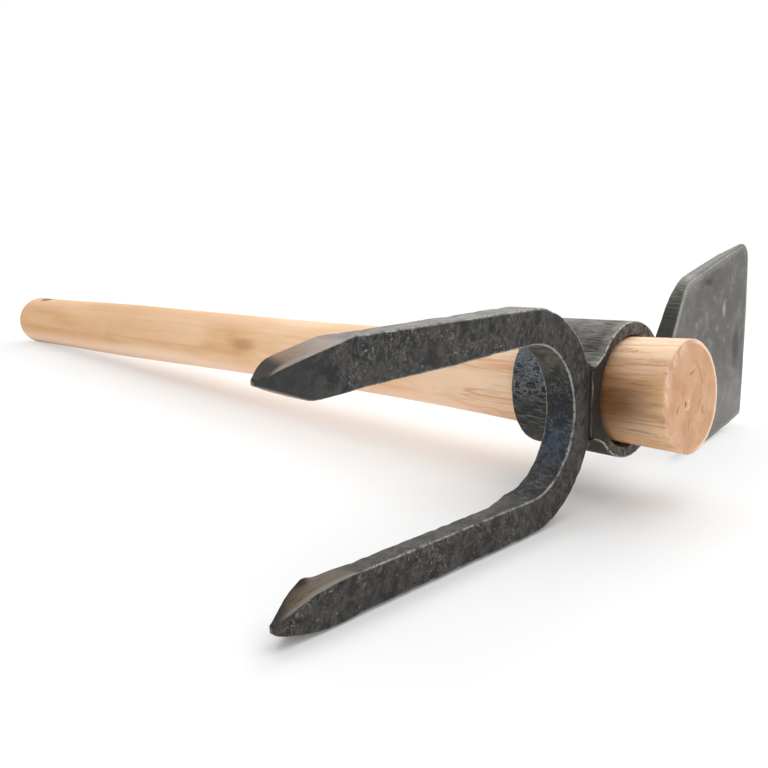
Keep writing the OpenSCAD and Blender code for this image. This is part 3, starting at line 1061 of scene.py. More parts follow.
@dataclass
class Handle:
    """The turned handle with its sawn stub, rounded butt and hanging hole. Sizes in mm."""

    length: float = 410.0
    stub_r: float = 18.0
    rim_break: float = 0.35
    seat_r: float = 16.15
    seat_end: float = 53.1
    waist_r: float = 13.2
    waist_place: float = 190.0
    neck_ease: float = 2.2
    swell_r: float = 13.6
    swell_place: float = 307.0
    butt_r: float = 12.9
    butt_place: float = 387.0
    butt_round: float = 10.0
    lean: float = math.tan(math.radians(3.3))
    skew: float = math.tan(math.radians(1.6))
    skew_fade: float = 16.0
    hole_r: float = 3.5
    hole_place: float = 390.0
    hole_lip: float = 0.9
    mark_t: float = 3.25
    mark_w: float = -1.96
    mark_r: float = 1.7
    mark_depth: float = 2.4
    cut_depth: float = 0.34
    columns: int = 200
    hole_columns: int = 48
    grit: Grit = Grit(11)
    spur_cuts: Tuple[Tuple[float, float, float, float], ...] = (
        (-3.6, 9.2, 0.5, 6.9),
        (5.4, 2.0, 10.2, -4.1),
        (1.7, -7.0, 3.1, -10.6),
        (-7.7, 4.3, -7.4, -6.0),
    )

    def radius(self, h: Array) -> Array:
        """The turned shape.

        Args:
            h: Places along the handle.

        Returns:
            The handle's radius there.
        """
        cone = self.stub_r - (self.stub_r - self.seat_r) * h / self.seat_end
        u = np.clip((h - self.seat_end) / (self.waist_place - self.seat_end), 0, 1)
        neck = self.waist_r + (self.seat_r - self.waist_r) * (1 - u) ** self.neck_ease
        u = (h - self.waist_place) / (self.swell_place - self.waist_place)
        grip = self.waist_r + (self.swell_r - self.waist_r) * smooth(u)
        u = (h - self.swell_place) / (self.butt_place - self.swell_place)
        tail = self.swell_r + (self.butt_r - self.swell_r) * smooth(u)
        ends = (self.seat_end, self.waist_place, self.swell_place)
        r = np.select([h < ends[0], h < ends[1], h <= ends[2]], [cone, neck, grip], tail)
        past = np.clip(h - (self.length - self.butt_round), 0, self.butt_round)
        return r - (self.butt_round - np.sqrt(np.maximum(self.butt_round**2 - past**2, 0)))

    def sawn_end(self, angle: Array) -> Tuple[Array, Array]:
        """The sawn end, from the lathe mark out to the rim.

        Args:
            angle: The turn of each column.

        Returns:
            Points by row and column, and how deep the dents are there, from 0 to 1.
        """
        out = np.concatenate([np.linspace(0.012, 0.13, 10), np.linspace(0.15, 1.0, 50)])[:, None]
        rim_r = self.stub_r - self.rim_break
        t = self.mark_t + (rim_r * np.cos(angle) - self.mark_t) * out
        w = self.mark_w + (rim_r * np.sin(angle) - self.mark_w) * out
        flat = points_at(0.0, t, w)
        from_mark = np.hypot(t - self.mark_t, w - self.mark_w)
        dent = self.mark_depth * np.clip(1.0 - from_mark / self.mark_r, 0, 1)
        bent_t = t + 0.9 * self.grit.at(flat, 3.1)
        bent_w = w + 0.6 * self.grit.at(flat, 2.3)
        deep = self.cut_depth * (0.6 + 0.4 * self.grit.at(flat, 1.7))
        for t0, w0, t1, w1 in self.spur_cuts:
            run_t, run_w = t1 - t0, w1 - w0
            share = ((bent_t - t0) * run_t + (bent_w - w0) * run_w) / (run_t**2 + run_w**2)
            share = np.clip(share, 0, 1)
            off = np.hypot(bent_t - t0 - share * run_t, bent_w - w0 - share * run_w)
            dent = np.maximum(dent, deep * np.clip(1.0 - off / (0.8 + 0.6 * share), 0, 1))
        saw = 0.10 * self.grit.at(flat, (1, 5.0, 0.8)) + 0.07 * self.grit.at(flat, 0.9)
        torn = smooth((np.hypot(t, w) - 13.0) / 4.0) * smooth((t + 2.0) / 9.0)
        saw = saw + torn * 0.45 * (self.grit.at(flat, 1.5) + 0.4)
        points = points_at(self.skew * t + self.lean * w + dent + saw, t, w)
        return points, np.clip(dent / 0.42, 0, 1)

    def turned_side(self, angle: Array) -> Array:
        """The turned side, from the rim of the sawn end to the butt.

        Args:
            angle: The turn of each column.

        Returns:
            Points by row and column.
        """
        to_butt = np.linspace(0.05, 1.0, 18)[:-1]
        place = np.concatenate([
            [self.rim_break],
            np.arange(1.2, 60.0, 1.4),
            np.arange(60.0, 396.0, 2.8),
            self.length - self.butt_round * (1 - np.sin(to_butt * TURN / 4)),
        ])[:, None]
        r = self.radius(place)
        t, w = r * np.cos(angle), r * np.sin(angle)
        tilt = np.clip(1.0 - place / self.skew_fade, 0, None)
        h = place + tilt * (self.skew * t + self.lean * w)
        points = points_at(h, t, w)
        swing = 0.10 * self.grit.at(points, (60.0, 14.0, 14.0))
        nick = 0.05 * self.grit.at(points, (9.0, 1.1, 1.1)) * smooth(1 - place / 60)
        share = (r + swing + nick) / np.maximum(r, 1e-6)
        return points_at(h, t * share, w * share)

    def build(self, finish: bpy.types.Material) -> bpy.types.Object:
        """Builds the handle and drills its hole.

        Args:
            finish: The material.

        Returns:
            The dressed piece.
        """
        angle = full_turn(self.columns)
        end, dent = self.sawn_end(angle)
        side = self.turned_side(angle)
        along_side = ((0, len(side)), (0, 0))
        marks = {"end": np.pad(np.ones(dent.shape), along_side), "dent": np.pad(dent, along_side)}
        piece = build_piece("handle_wood", Skin(np.concatenate([end, side]), marks), finish)
        self.drill(piece)
        return dress(piece, "handle")

    def drill(self, piece: bpy.types.Object) -> None:
        """Cuts the hanging hole, with a small worn mouth at each side.

        Args:
            piece: The handle.
        """
        half = [
            (self.hole_r, self.butt_r - 1.6),
            (self.hole_r + self.hole_lip, self.butt_r + 0.1),
            (self.hole_r + 3.0, 2.2 * self.butt_r),
        ]
        profile = [(r, -w) for r, w in half[::-1]] + half
        angle = full_turn(self.hole_columns)
        rows = [
            points_at(self.hole_place + r * np.cos(angle), r * np.sin(angle), w) for r, w in profile
        ]
        cutter = build_piece("hole_cutter", Skin(np.stack(rows), {}), piece.data.materials[0])
        cut = piece.modifiers.new("hanging_hole", "BOOLEAN")
        cut.operation = "DIFFERENCE"
        cut.solver = "EXACT"
        cut.object = cutter
        ready = piece.evaluated_get(bpy.context.evaluated_depsgraph_get())
        drilled = bpy.data.meshes.new_from_object(ready)
        piece.modifiers.clear()
        piece.data = drilled
        bpy.data.objects.remove(cutter)


@dataclass(frozen=True)
class Tine:
    """One tine. Its lines are given by their corners, as places along t and distances in mm."""

    side: float
    tip: float
    run_out: float
    outer_front: Tuple[Pair, ...]
    outer_back: Tuple[Pair, ...]
    inner_front: Tuple[Pair, ...]
    inner_back: Tuple[Pair, ...]
    grind: Tuple[Pair, ...]


UPPER_TINE = Tine(
    side=1.0,
    tip=158.5,
    run_out=77.0,
    outer_front=(
        (128.5, 32.8), (132.3, 32.0), (140.4, 30.45), (147.7, 28.9), (151.5, 28.0), (154.7, 27.1),
        (158.5, 26.4),
    ),
    outer_back=((134.0, 32.8), (137.0, 32.3), (150.3, 29.6), (152.3, 29.2), (155.6, 28.1), (158.5, 26.9)),
    inner_front=(
        (62.0, 22.3), (76.0, 22.0), (85.0, 21.5), (94.5, 21.1), (105.0, 20.85), (121.0, 20.4),
        (141.0, 19.8), (143.5, 20.1), (158.5, 25.4),
    ),
    inner_back=((105.0, 22.3), (141.0, 20.0), (144.0, 20.4), (158.5, 25.5)),
    grind=((148.5, 27.3), (150.3, 26.95), (154.4, 24.9), (158.5, 22.0)),
)
LOWER_TINE = Tine(
    side=-1.0,
    tip=156.1,
    run_out=13.0,
    outer_front=((138.0, 32.8), (142.0, 32.5), (147.3, 31.6), (152.5, 30.2), (155.3, 29.1), (156.1, 28.3)),
    outer_back=((138.0, 32.8), (142.0, 32.5), (147.3, 31.6), (152.5, 30.2), (156.1, 28.3)),
    inner_front=((130.0, 22.3), (136.0, 22.5), (142.7, 23.2), (147.0, 24.2), (151.6, 25.4), (156.1, 26.3)),
    inner_back=(
        (141.5, 22.3), (143.9, 22.8), (145.7, 23.6), (147.0, 24.4), (151.0, 26.0), (154.5, 26.7),
        (156.1, 26.5),
    ),
    grind=((145.5, 27.3), (147.3, 27.0), (151.0, 25.3), (154.5, 23.3), (156.1, 22.1)),
)


@dataclass
class Fork:
    """The two-tine fork, swept as a four-cornered section. Sizes in mm.

    A section's corners are front outer, back outer, back inner and front inner, so that its sides
    are the outer, the back, the inner and the front one.
    """

    seam: float = 26.3
    bend_place: float = 57.2
    inner_r: float = 22.3
    outer_r: float = 32.8
    drop: float = 1.62
    front: float = 20.9
    back: float = 31.2
    tine_back: float = 27.3
    upper: Tine = UPPER_TINE
    lower: Tine = LOWER_TINE
    edge_break: float = 0.75
    ground_break: float = 0.35
    crisp_place: float = 126.0
    fine_place: float = 128.0
    fine_stations: int = 51
    bend_stations: int = 121
    side_steps: Tuple[int, int, int, int] = (9, 13, 9, 15)
    corner_steps: int = 4
    grit: Grit = Grit(23)

    def tine_corners(self, tine: Tine) -> Array:
        """The four corner lines of a tine.

        Args:
            tine: The tine.

        Returns:
            Points by station from the bend to the tip, then by corner.
        """
        coarse = np.arange(self.bend_place + 0.9, self.fine_place, 1.0)
        t = np.concatenate([coarse, np.linspace(self.fine_place, tine.tip, self.fine_stations)])
        plain = ((self.bend_place, self.back), (self.bend_place + tine.run_out, self.tine_back))
        back = follow(plain + tine.grind, t)
        lines = (
            (self.front, tine.outer_front),
            (back, tine.outer_back),
            (back, tine.inner_back),
            (self.front, tine.inner_front),
        )
        corners = [points_at(h, t, tine.side * follow(line, t) - self.drop) for h, line in lines]
        return np.stack(corners, axis=1)

    def bend_corners(self) -> Array:
        """The four corner lines round the bend, which is flat along the seam.

        Returns:
            Points by station from the upper tine to the lower one, then by corner.
        """
        angle = np.linspace(TURN / 4, TURN * 3 / 4, self.bend_stations)
        flat = (self.bend_place - self.seam) / np.maximum(-np.cos(angle), 1e-6)
        outer = np.minimum(self.outer_r, flat)
        lines = (
            (self.front, outer),
            (self.back, outer),
            (self.back, self.inner_r),
            (self.front, self.inner_r),
        )
        corners = [
            points_at(h, self.bend_place + r * np.cos(angle), r * np.sin(angle) - self.drop)
            for h, r in lines
        ]
        return np.stack(corners, axis=1)

    def section(self, corners: Array) -> Tuple[Array, Dict[str, Array]]:
        """Fills each four-cornered section with points, its corners rounded.

        Args:
            corners: Points by station, then corner.

        Returns:
            The points by station and column, and the marks for them.
        """
        columns: List[Array] = []
        shares: List[Array] = []
        sides = np.eye(4)
        for k, steps in enumerate(self.side_steps):
            a, ahead = corners[:, k], corners[:, (k + 1) % 4] - corners[:, k]
            behind = corners[:, k - 1] - a
            crisp = smooth((a[:, 1:2] - self.crisp_place) / 6.0)
            edge_break = self.edge_break + (self.ground_break - self.edge_break) * crisp
            spans = [np.linalg.norm(way, axis=-1, keepdims=True) for way in (ahead, behind)]
            cut, back_cut = (np.minimum(edge_break, 0.42 * n) / np.maximum(n, 1e-6) for n in spans)
            turn = curve(a + behind * back_cut, a, a + ahead * cut, self.corner_steps + 1)[1:-1]
            flat = [a + ahead * (cut + (1 - 2 * cut) * u) for u in np.linspace(0, 1, steps + 1)]
            columns += [*turn, *flat]
            shares += [(sides[k - 1] + sides[k]) / 2] * len(turn) + [sides[k]] * len(flat)
        points = np.stack(columns, axis=1)
        gaps = np.linalg.norm(points[:, :, None, :] - corners[:, None, :, :], axis=-1)
        outer, _, inner, front = np.tile(np.array(shares).T[:, None], (1, len(points), 1))
        marks = {"edge": gaps.min(axis=-1), "front": front, "inner": inner, "outer": outer}
        return points, marks

    def ground_marks(self, points: Array, marks: Dict[str, Array]) -> Tuple[Array, Array]:
        """Finds the ground faces near the tips.

        Args:
            points: Points by station and column.
            marks: Their marks so far.

        Returns:
            How far each point lies on a ground face, and how far on a dark end facet.
        """
        h, t, w = points[..., 0], points[..., 1], points[..., 2] + self.drop
        outer, inner = marks["outer"], marks["inner"]
        off_front = np.clip(2 * (1 - marks["front"]), 0, 1)
        on_upper = (w > 0) * np.clip(2 * outer, 0, 1)
        on_lower = (w < 0) * np.clip(2 * inner, 0, 1)
        wander = 0.5 * self.grit.at(points, 3.0)
        slope = t - 0.30 * (h - self.front) + wander
        ground = smooth((slope - 130.0) / 4.5) * on_upper + smooth((slope - 128.6) / 2.2) * on_lower
        ground = ground + smooth(slope - 141.5) * ((w > 0) * inner + (w < 0) * outer)
        band = 4.5 * np.clip((self.front + 1.5 - h) / 1.5, 0, 1)
        facet = smooth((t - 146.8 - band + 0.5 * wander) / 4.6) * on_upper
        facet = facet + smooth((t - 150.0 + 1.15 * (h - self.front) + wander) / 5.5) * on_lower
        tip = np.where(w > 0, self.upper.tip, self.lower.tip)
        facet = facet * off_front * (t > tip - 12.0)
        lump = 1.4 * np.exp(-((t - 142.6) ** 2) / 5.0 - (h - self.tine_back) ** 2 / 4.0) * (w < 0)
        return np.clip(ground * off_front, 0, 1), np.clip(facet + lump * (inner > 0.1), 0, 1)

    def build(self, finish: bpy.types.Material) -> bpy.types.Object:
        """Builds the fork.

        Args:
            finish: The material.

        Returns:
            The dressed piece.
        """
        upper, lower = self.tine_corners(self.upper), self.tine_corners(self.lower)
        points, marks = self.section(np.concatenate([upper[::-1], self.bend_corners(), lower]))
        h, t, w = points[..., 0], points[..., 1], points[..., 2]
        marks["ground"], marks["facet"] = self.ground_marks(points, marks)
        at_seam = smooth((self.seam + 1.2 - t) / 0.8)
        marks["edge"] = marks["edge"] + 2.0 * at_seam * marks["outer"]
        skin = Skin(points, marks)
        calm = (1 - 0.85 * marks["ground"]) * smooth((t - self.seam - 0.1) / 2.0)
        dent = 0.13 * self.grit.layered(points, 17.0) + 0.06 * self.grit.at(points, 3.2)
        chip = np.minimum(0.0, 0.20 * self.grit.layered(points, 2.6) - 0.03)
        chip = chip * smooth(1.4 - marks["edge"])
        lump = 0.6 * np.exp(-((t - 141.4) ** 2) / 4.0) * (w < -10) * (marks["inner"] > 0)
        lump = lump * smooth((h - self.tine_back + 2.2) / 1.4)
        skin.push((dent - 0.04 + chip) * calm + lump)
        return dress(build_piece("fork_steel", skin, finish), "fork")


@dataclass
class EyeRing:
    """The ring with its two lands. Sizes in mm.

    Each side of the fork's land is a bend between two points with a third that pulls it, as t and w.
    """

    front: float = 20.7
    back: float = 53.1
    front_r: float = 22.5
    back_r: float = 21.6
    bevel: float = 0.6
    bore_front: float = 17.43
    bore_back: float = 16.30
    mouth: float = 1.0
    mouth_sag: float = 1.3
    sag_turn: float = -1.20
    notch_turn: float = -1.46
    notch_half: float = 0.035
    fork_seam: float = 26.3
    land_back: float = 31.2
    land_round: float = 0.25
    blade_seam: float = 25.2
    blade_front: float = 22.7
    blade_root: float = 14.0
    neck_half: float = 8.5
    slit: float = 1.7
    slit_depth: float = 3.6
    flare: float = 1.9
    flare_turn: float = 0.2
    flare_half: float = 1.04
    columns: int = 320
    fork_land: Tuple[Tuple[Pair, Pair, Pair], ...] = (
        ((12.0, 18.6), (17.2, 12.9), (26.3, 9.4)),
        ((26.3, -12.2), (18.0, -12.5), (11.5, -19.3)),
    )
    grit: Grit = Grit(37)

    def ring_r(self, h: float) -> float:
        """The outside radius of the ring."""
        u = (h - self.front) / (self.back - self.front)
        return self.front_r + (self.back_r - self.front_r) * u

    @staticmethod
    def land_reach(angle: Array, corners: Array) -> Array:
        """How far a land reaches along each direction from the handle's axis.

        Args:
            angle: The directions.
            corners: The land's corners, as t and w.

        Returns:
            The reach, or 0 where the land isn't met.
        """
        ray_t, ray_w = np.cos(angle), np.sin(angle)
        reach = np.zeros_like(angle)
        for (t0, w0), (t1, w1) in zip(corners[:-1], corners[1:]):
            dt, dw = t1 - t0, w1 - w0
            bottom = ray_t * dw - ray_w * dt
            far = (t0 * dw - w0 * dt) / np.where(np.abs(bottom) < 1e-9, 1e-9, bottom)
            share = ((ray_t * far - t0) * dt + (ray_w * far - w0) * dw) / (dt * dt + dw * dw)
            hit = (far > 0) & (share >= -1e-6) & (share <= 1 + 1e-6)
            reach = np.maximum(reach, np.where(hit, far, 0))
        return reach

    def outline(self, angle: Array, h: float) -> Array:
        """The outside of the ring and its lands.

        Args:
            angle: The directions from the handle's axis.
            h: The place along the handle.

        Returns:
            The reach in each direction.
        """
        r = np.full_like(angle, self.ring_r(h))
        if h <= self.land_back:
            land = np.concatenate([curve(*side, 12) for side in self.fork_land])
            r = np.maximum(r, self.land_reach(angle, land))
        if self.blade_front <= h <= self.land_back:
            root, seam, half = -self.blade_root, -self.blade_seam, self.neck_half
            land = np.array([(root, half), (seam, half), (seam, -half), (root, -half)])
            r = np.maximum(r, self.land_reach(angle, land))
        return r

    def sag(self, angle: Array) -> Array:
        """How far the mouth is worn, notched and flared beyond its bore.

        Args:
            angle: The directions from the handle's axis.

        Returns:
            The distance in each direction.
        """
        worn = self.mouth_sag * np.exp(-(turned_from(angle, self.sag_turn) ** 2) / 0.28)
        notch = 1.5 * np.exp(-((turned_from(angle, self.notch_turn) / self.notch_half) ** 2))
        flare = np.exp(-((turned_from(angle, self.flare_turn) / self.flare_half) ** 4))
        return worn + notch + self.flare * flare

    def rows(self, angle: Array) -> Iterator[Tuple[Union[float, Array], float, float]]:
        """The rows from the mouth over the outside and the back into the bore.

        Args:
            angle: The turn of each column.

        Yields:
            The reach, the place along the handle, and how far the row lies on an end face.
        """
        sag = self.sag(angle)
        lip = self.mouth * (1 - 0.5 * np.clip(sag, 0, 1))
        front_reach = self.outline(angle, self.front)
        for u in (0.0, 0.3, 0.55, 0.8, 1.0):
            yield self.bore_front + sag + lip * u, self.front + self.mouth * (1 - u) ** 1.5 * 1.2, 1.0
        start = self.bore_front + sag + lip
        for u in (0.04, 0.16, 0.30, 0.45, 0.60, 0.75, 0.87, 0.95):
            yield start + (front_reach - self.bevel - start) * u, self.front, 1.0
        for u in (0.0, 0.25, 0.5, 0.75, 1.0):
            back, inwards = quarter_round(u, self.bevel)
            yield front_reach - inwards, self.front + back, 1.0 - u
        for h in (21.6, 22.0, 22.35, 22.65, 22.72, 23.1, 23.6, *np.arange(24.3, 30.6, 0.8), 30.7, 30.95):
            yield self.outline(angle, h), h, 0.0
        for u in (0.33, 0.66, 1.0):
            inwards, forwards = quarter_round(u, self.land_round)
            r = np.maximum(self.outline(angle, self.land_back) - inwards, self.ring_r(self.land_back))
            yield r, self.land_back - forwards, 0.0
        for h in (31.24, 31.6, 32.2, *np.arange(33.0, 51.8, 1.0), 52.1):
            yield self.ring_r(h), h, 0.0
        for u in (0.0, 0.33, 0.66, 1.0):
            inwards, forwards = quarter_round(u, self.bevel)
            yield self.back_r - inwards, self.back - forwards, u
        start = self.back_r - self.bevel
        for u in (0.3, 0.7, 1.0):
            yield start + (self.bore_back + 0.4 - start) * u, self.back, 1.0
        for u in (0.02, 0.25, 0.5, 0.62, 0.72, 0.82, 0.91, 0.96):
            r = self.bore_back + (self.bore_front - self.bore_back) * u
            h = self.back + (self.front + self.mouth - self.back) * u
            yield r + sag * max(0.0, u - 0.5) / 0.5, h, 0.0

    def edge_gap(self, angle: Array, points: Array) -> Array:
        """How far points are from the ring's edges.

        Args:
            angle: The turn of each column.
            points: Points by row and column.

        Returns:
            The distance for each point.
        """
        h, reach = points[..., 0], np.hypot(points[..., 1], points[..., 2])
        sag = self.sag(angle)
        mouth_r = self.bore_front + sag + self.mouth * (1 - 0.5 * np.clip(sag, 0, 1))
        outer = np.hypot(reach - self.outline(angle, self.front) + 0.2, h - self.front - 0.2)
        rear = np.hypot(reach - self.back_r, h - self.back)
        lip = np.hypot(reach - mouth_r, h - self.front) + 0.35
        wall = np.abs(h - self.land_back) + 3.0 * (reach < self.ring_r(self.land_back) + 0.8)
        return np.minimum.reduce([outer, rear, lip, wall])

    def build(self, finish: bpy.types.Material) -> bpy.types.Object:
        """Builds the ring as a closed skin.

        Args:
            finish: The material.

        Returns:
            The dressed piece.
        """
        angle = full_turn(self.columns)
        rows = list(self.rows(angle))
        points = np.stack([points_at(h, r * np.cos(angle), r * np.sin(angle)) for r, h, _ in rows])
        h, t, w = points[..., 0], points[..., 1], points[..., 2]
        rim = np.tile([[share] for _, _, share in rows], (1, self.columns))
        edge = self.edge_gap(angle, points)
        # the seam mark, where painted shadow goes along the seam and in the slit
        seam = (t > self.fork_seam - 0.6) & (h > self.front + 0.5)
        edge = edge + 2.0 * seam
        deep = np.clip((self.front + self.slit_depth - h) / self.slit_depth, 0, 1)
        ragged = np.clip(0.75 + 0.9 * self.grit.at(points, (4.0, 4.0, 3.2)), 0.1, 1.8)
        near_seam = smooth((t - self.fork_seam + 2.2) / 2.0) * (np.abs(w + 1.4) < 11.5)
        t = t - (self.slit * ragged * deep + 0.02) * near_seam
        points = points_at(h, t, w)
        marks = {"edge": edge, "rim": rim, "seam": seam.astype(float)}
        skin = Skin(points, marks, (Closing.OPEN, Closing.LOOP), around=0)
        outside = smooth(np.hypot(t, w) - 18.9)
        free = smooth((self.fork_seam - 0.3 - t) / 1.5) * smooth((self.blade_seam - 0.3 + t) / 1.5)
        dent = 0.14 * self.grit.at(points, (18.0, 6.0, 6.0)) + 0.05 * self.grit.at(points, (8.0, 1.4, 1.4))
        nick = np.minimum(0.0, 0.16 * self.grit.layered(points, 2.0)) * smooth((0.9 - edge) / 0.7)
        skin.push((dent + nick - 0.03) * outside * free)
        return dress(build_piece("eye_ring_steel", skin, finish), "eye_ring")


@dataclass
class CornerWeld:
    """A hollow-faced run of weld metal in one corner between two pieces. Sizes in mm."""

    name: str
    node: str
    corner: Pair
    first_way: Pair
    second_way: Pair
    leg: float
    front: float
    back: float
    sunk: float = 0.35
    hollow: float = 0.22
    end_taper: float = 0.16
    grit: Grit = Grit(67)

    def section(self) -> Array:
        """The run's outline: a hollow face, and two legs sunk into the metal behind it.

        Returns:
            The outline's points, as t and w.
        """
        p = np.array(self.corner)
        a, b = unit(np.array(self.first_way)), unit(np.array(self.second_way))
        middle = unit(a + b)
        start, end = p + a * self.leg, p + b * self.leg
        face = curve(start, p + middle * self.hollow * self.leg, end, 13)
        into_a, into_b = unit(a * (a @ b) - b), unit(b * (a @ b) - a)
        behind = [end + into_b * self.sunk, p - middle * self.sunk, start + into_a * self.sunk]
        return np.concatenate([face, behind])

    def build(self, finish: bpy.types.Material) -> bpy.types.Object:
        """Builds the run along the handle.

        Args:
            finish: The material.

        Returns:
            The dressed piece.
        """
        outline = self.section()
        middle = outline.mean(axis=0)
        length = self.back - self.front
        first, last = (0.0, 0.12, 0.4, 0.8), (0.8, 0.4, 0.12, 0.0)
        rows = []
        for place in (*first, *np.arange(1.3, length - 0.9, 0.45), *(length - v for v in last)):
            side = min(place, length - place)
            shrink = 1.0 - self.end_taper * (1.0 - min(side / 0.8, 1.0)) ** 2
            flat = middle + (outline - middle) * shrink
            rows.append(points_at(self.front + place, flat[:, 0], flat[:, 1]))
        skin = Skin(np.stack(rows), {})
        skin.push(0.10 * self.grit.layered(skin.points, 2.4))
        return dress(build_piece(self.name, skin, finish), self.node)


def build_welds(finish: bpy.types.Material) -> List[bpy.types.Object]:
    """Builds the weld metal above and below the fork's seam and the blade's seam.

    Args:
        finish: The material.

    Returns:
        The dressed pieces.
    """
    fork, blade = (3.1, 20.92, 31.0), (2.4, 23.6, 31.1)
    runs = [
        ("fork_weld_upper", "fork_weld", (26.2, 9.5), (0.36, 0.93), (-0.93, 0.37), *fork),
        ("fork_weld_lower", "fork_weld", (26.2, -12.4), (0.36, -0.93), (-0.99, -0.12), *fork),
        ("blade_weld_upper", "blade_weld", (-20.4, 8.45), (-1.0, 0.0), (0.40, 0.92), *blade),
        ("blade_weld_lower", "blade_weld", (-20.4, -8.45), (-1.0, 0.0), (0.40, -0.92), *blade),
    ]
    return [CornerWeld(*run).build(finish) for run in runs]


@dataclass
class HoeBlade:
    """The flat blade with its waisted neck. Sizes in mm.

    Each corner of the plan has a distance from the handle's axis, a place across and a radius.
    """

    seam: float = 25.2
    front: float = 22.7
    lean: float = math.tan(math.radians(6.28))
    shoulder: float = 50.4
    bevel_start: float = 96.8
    edge_place: float = 127.8
    flat_back: float = 31.2
    bevel_back: float = 35.38
    edge_thickness: float = 1.0
    front_round: float = 1.9
    back_round: float = 1.1
    front_shoulder_r: float = 13.0
    back_shoulder_r: float = 26.0
    upper_shoulder: int = 2
    rows: int = 120
    columns: int = 56
    corner_steps: int = 8
    side_gaps: Tuple[float, ...] = (0.0, 0.1, 0.3, 0.6, 0.95, 1.4, 1.9)
    last_gap: float = 2.6
    grit: Grit = Grit(51)
    corners: Tuple[Triple, ...] = (
        (25.2, 8.5, 0.0),
        (33.5, 8.5, 7.0),
        (50.4, 31.9, 6.0),
        (126.4, 44.6, 8.0),
        (127.8, 10.0, 260.0),
        (125.1, -30.3, 1.0),
        (109.8, -32.4, 0.0),
        (79.8, -34.4, 60.0),
        (50.4, -31.5, 6.0),
        (33.5, -8.5, 7.0),
        (25.2, -8.5, 0.0),
    )

    def arc(self, a: Array, b: Array, c: Array, r: float) -> List[Array]:
        """Rounds a corner.

        Args:
            a: The corner before it.
            b: The corner.
            c: The corner after it.
            r: The radius.

        Returns:
            Points of the rounding.
        """
        into, out = unit(a - b), unit(c - b)
        half = math.acos(float(np.clip(into @ out, -1, 1))) / 2
        centre = b + unit(into + out) * r / math.sin(half)
        x, y = b + into * r / math.tan(half) - centre
        turn = -math.copysign(math.pi - 2 * half, into[0] * out[1] - into[1] * out[0])
        at = turn * np.linspace(0, 1, self.corner_steps + 1)
        ring = np.stack([np.cos(at) * x - np.sin(at) * y, np.sin(at) * x + np.cos(at) * y], -1)
        return list(centre + ring)

    def outline(self, shoulder_r: float) -> List[List[Array]]:
        """The rounded plan.

        Args:
            shoulder_r: The radius of the upper shoulder.

        Returns:
            A list of points for each corner.
        """
        flat = [np.array(corner[:2]) for corner in self.corners]
        groups = []
        for i, (_, _, r) in enumerate(self.corners):
            r = shoulder_r if i == self.upper_shoulder else r
            ahead = flat[(i + 1) % len(flat)]
            groups.append(self.arc(flat[i - 1], flat[i], ahead, r) if r > 0 else [flat[i]])
        return groups

    @staticmethod
    def resample(points: Sequence[Array], shares: Array) -> Array:
        """Places points along a line.

        Args:
            points: The line.
            shares: The shares of its length at which points are wanted.

        Returns:
            Those points.
        """
        line = np.array(points)
        far = np.cumsum([0.0, *np.linalg.norm(np.diff(line, axis=0), axis=1)])
        return np.stack([np.interp(shares, far / far[-1], line[:, k]) for k in range(2)], -1)

    def plan(self, shoulder_r: float) -> Tuple[Array, Array]:
        """Fills the plan with rows of points from the seam to the edge.

        Args:
            shoulder_r: The radius of the upper shoulder.

        Returns:
            The points, and how far each is from the nearer side.
        """
        groups = self.outline(shoulder_r)
        half = self.corner_steps // 2
        upper = sum(groups[:3], []) + groups[3][: half + 1]
        cutting = groups[3][half:] + groups[4] + groups[5][: half + 1]
        lower = groups[5][half:] + sum(groups[6:], [])
        u = np.linspace(0, 1, self.rows)
        u = u + 0.06 * np.sin(TURN * u) / TURN
        top, bottom = self.resample(upper, u), self.resample(lower[::-1], u)
        width = np.linalg.norm(top - bottom, axis=1)[:, None]
        gaps = np.tile(self.side_gaps, (self.rows, 1))
        middle = self.last_gap + (width - 2 * self.last_gap) * np.linspace(0, 1, self.columns)
        across = np.concatenate([gaps, middle, width - gaps[:, ::-1]], axis=1)
        v = (across / width)[..., None]
        edge = self.resample(cutting[::-1], v[-1, :, 0])
        grid = bottom[:, None] * (1 - v) + top[:, None] * v
        straight_edge = bottom[-1] * (1 - v) + top[-1] * v
        grid = grid + u[:, None, None] ** 6 * (edge - straight_edge)
        return grid, np.minimum(across, width - across)

    def front_at(self, s: Union[float, Array]) -> Union[float, Array]:
        """Place of the front face along the handle, at distances from its axis."""
        return self.front + self.lean * (s - self.seam)

    def back_at(self, s: Array) -> Array:
        """Place of the back face along the handle, at distances from its axis."""
        end = (self.edge_place, self.front_at(self.edge_place) + self.edge_thickness)
        return follow(((self.shoulder, self.flat_back), (self.bevel_start, self.bevel_back), end), s)

    @staticmethod
    def rounding(r: float, gap: Array, thick: Array) -> Array:
        """How far a face drops off at a gap from its side, less where the blade is thin."""
        r = np.minimum(r, 0.42 * thick)
        return r - np.sqrt(np.maximum(r**2 - np.clip(r - gap, 0, None) ** 2, 0))

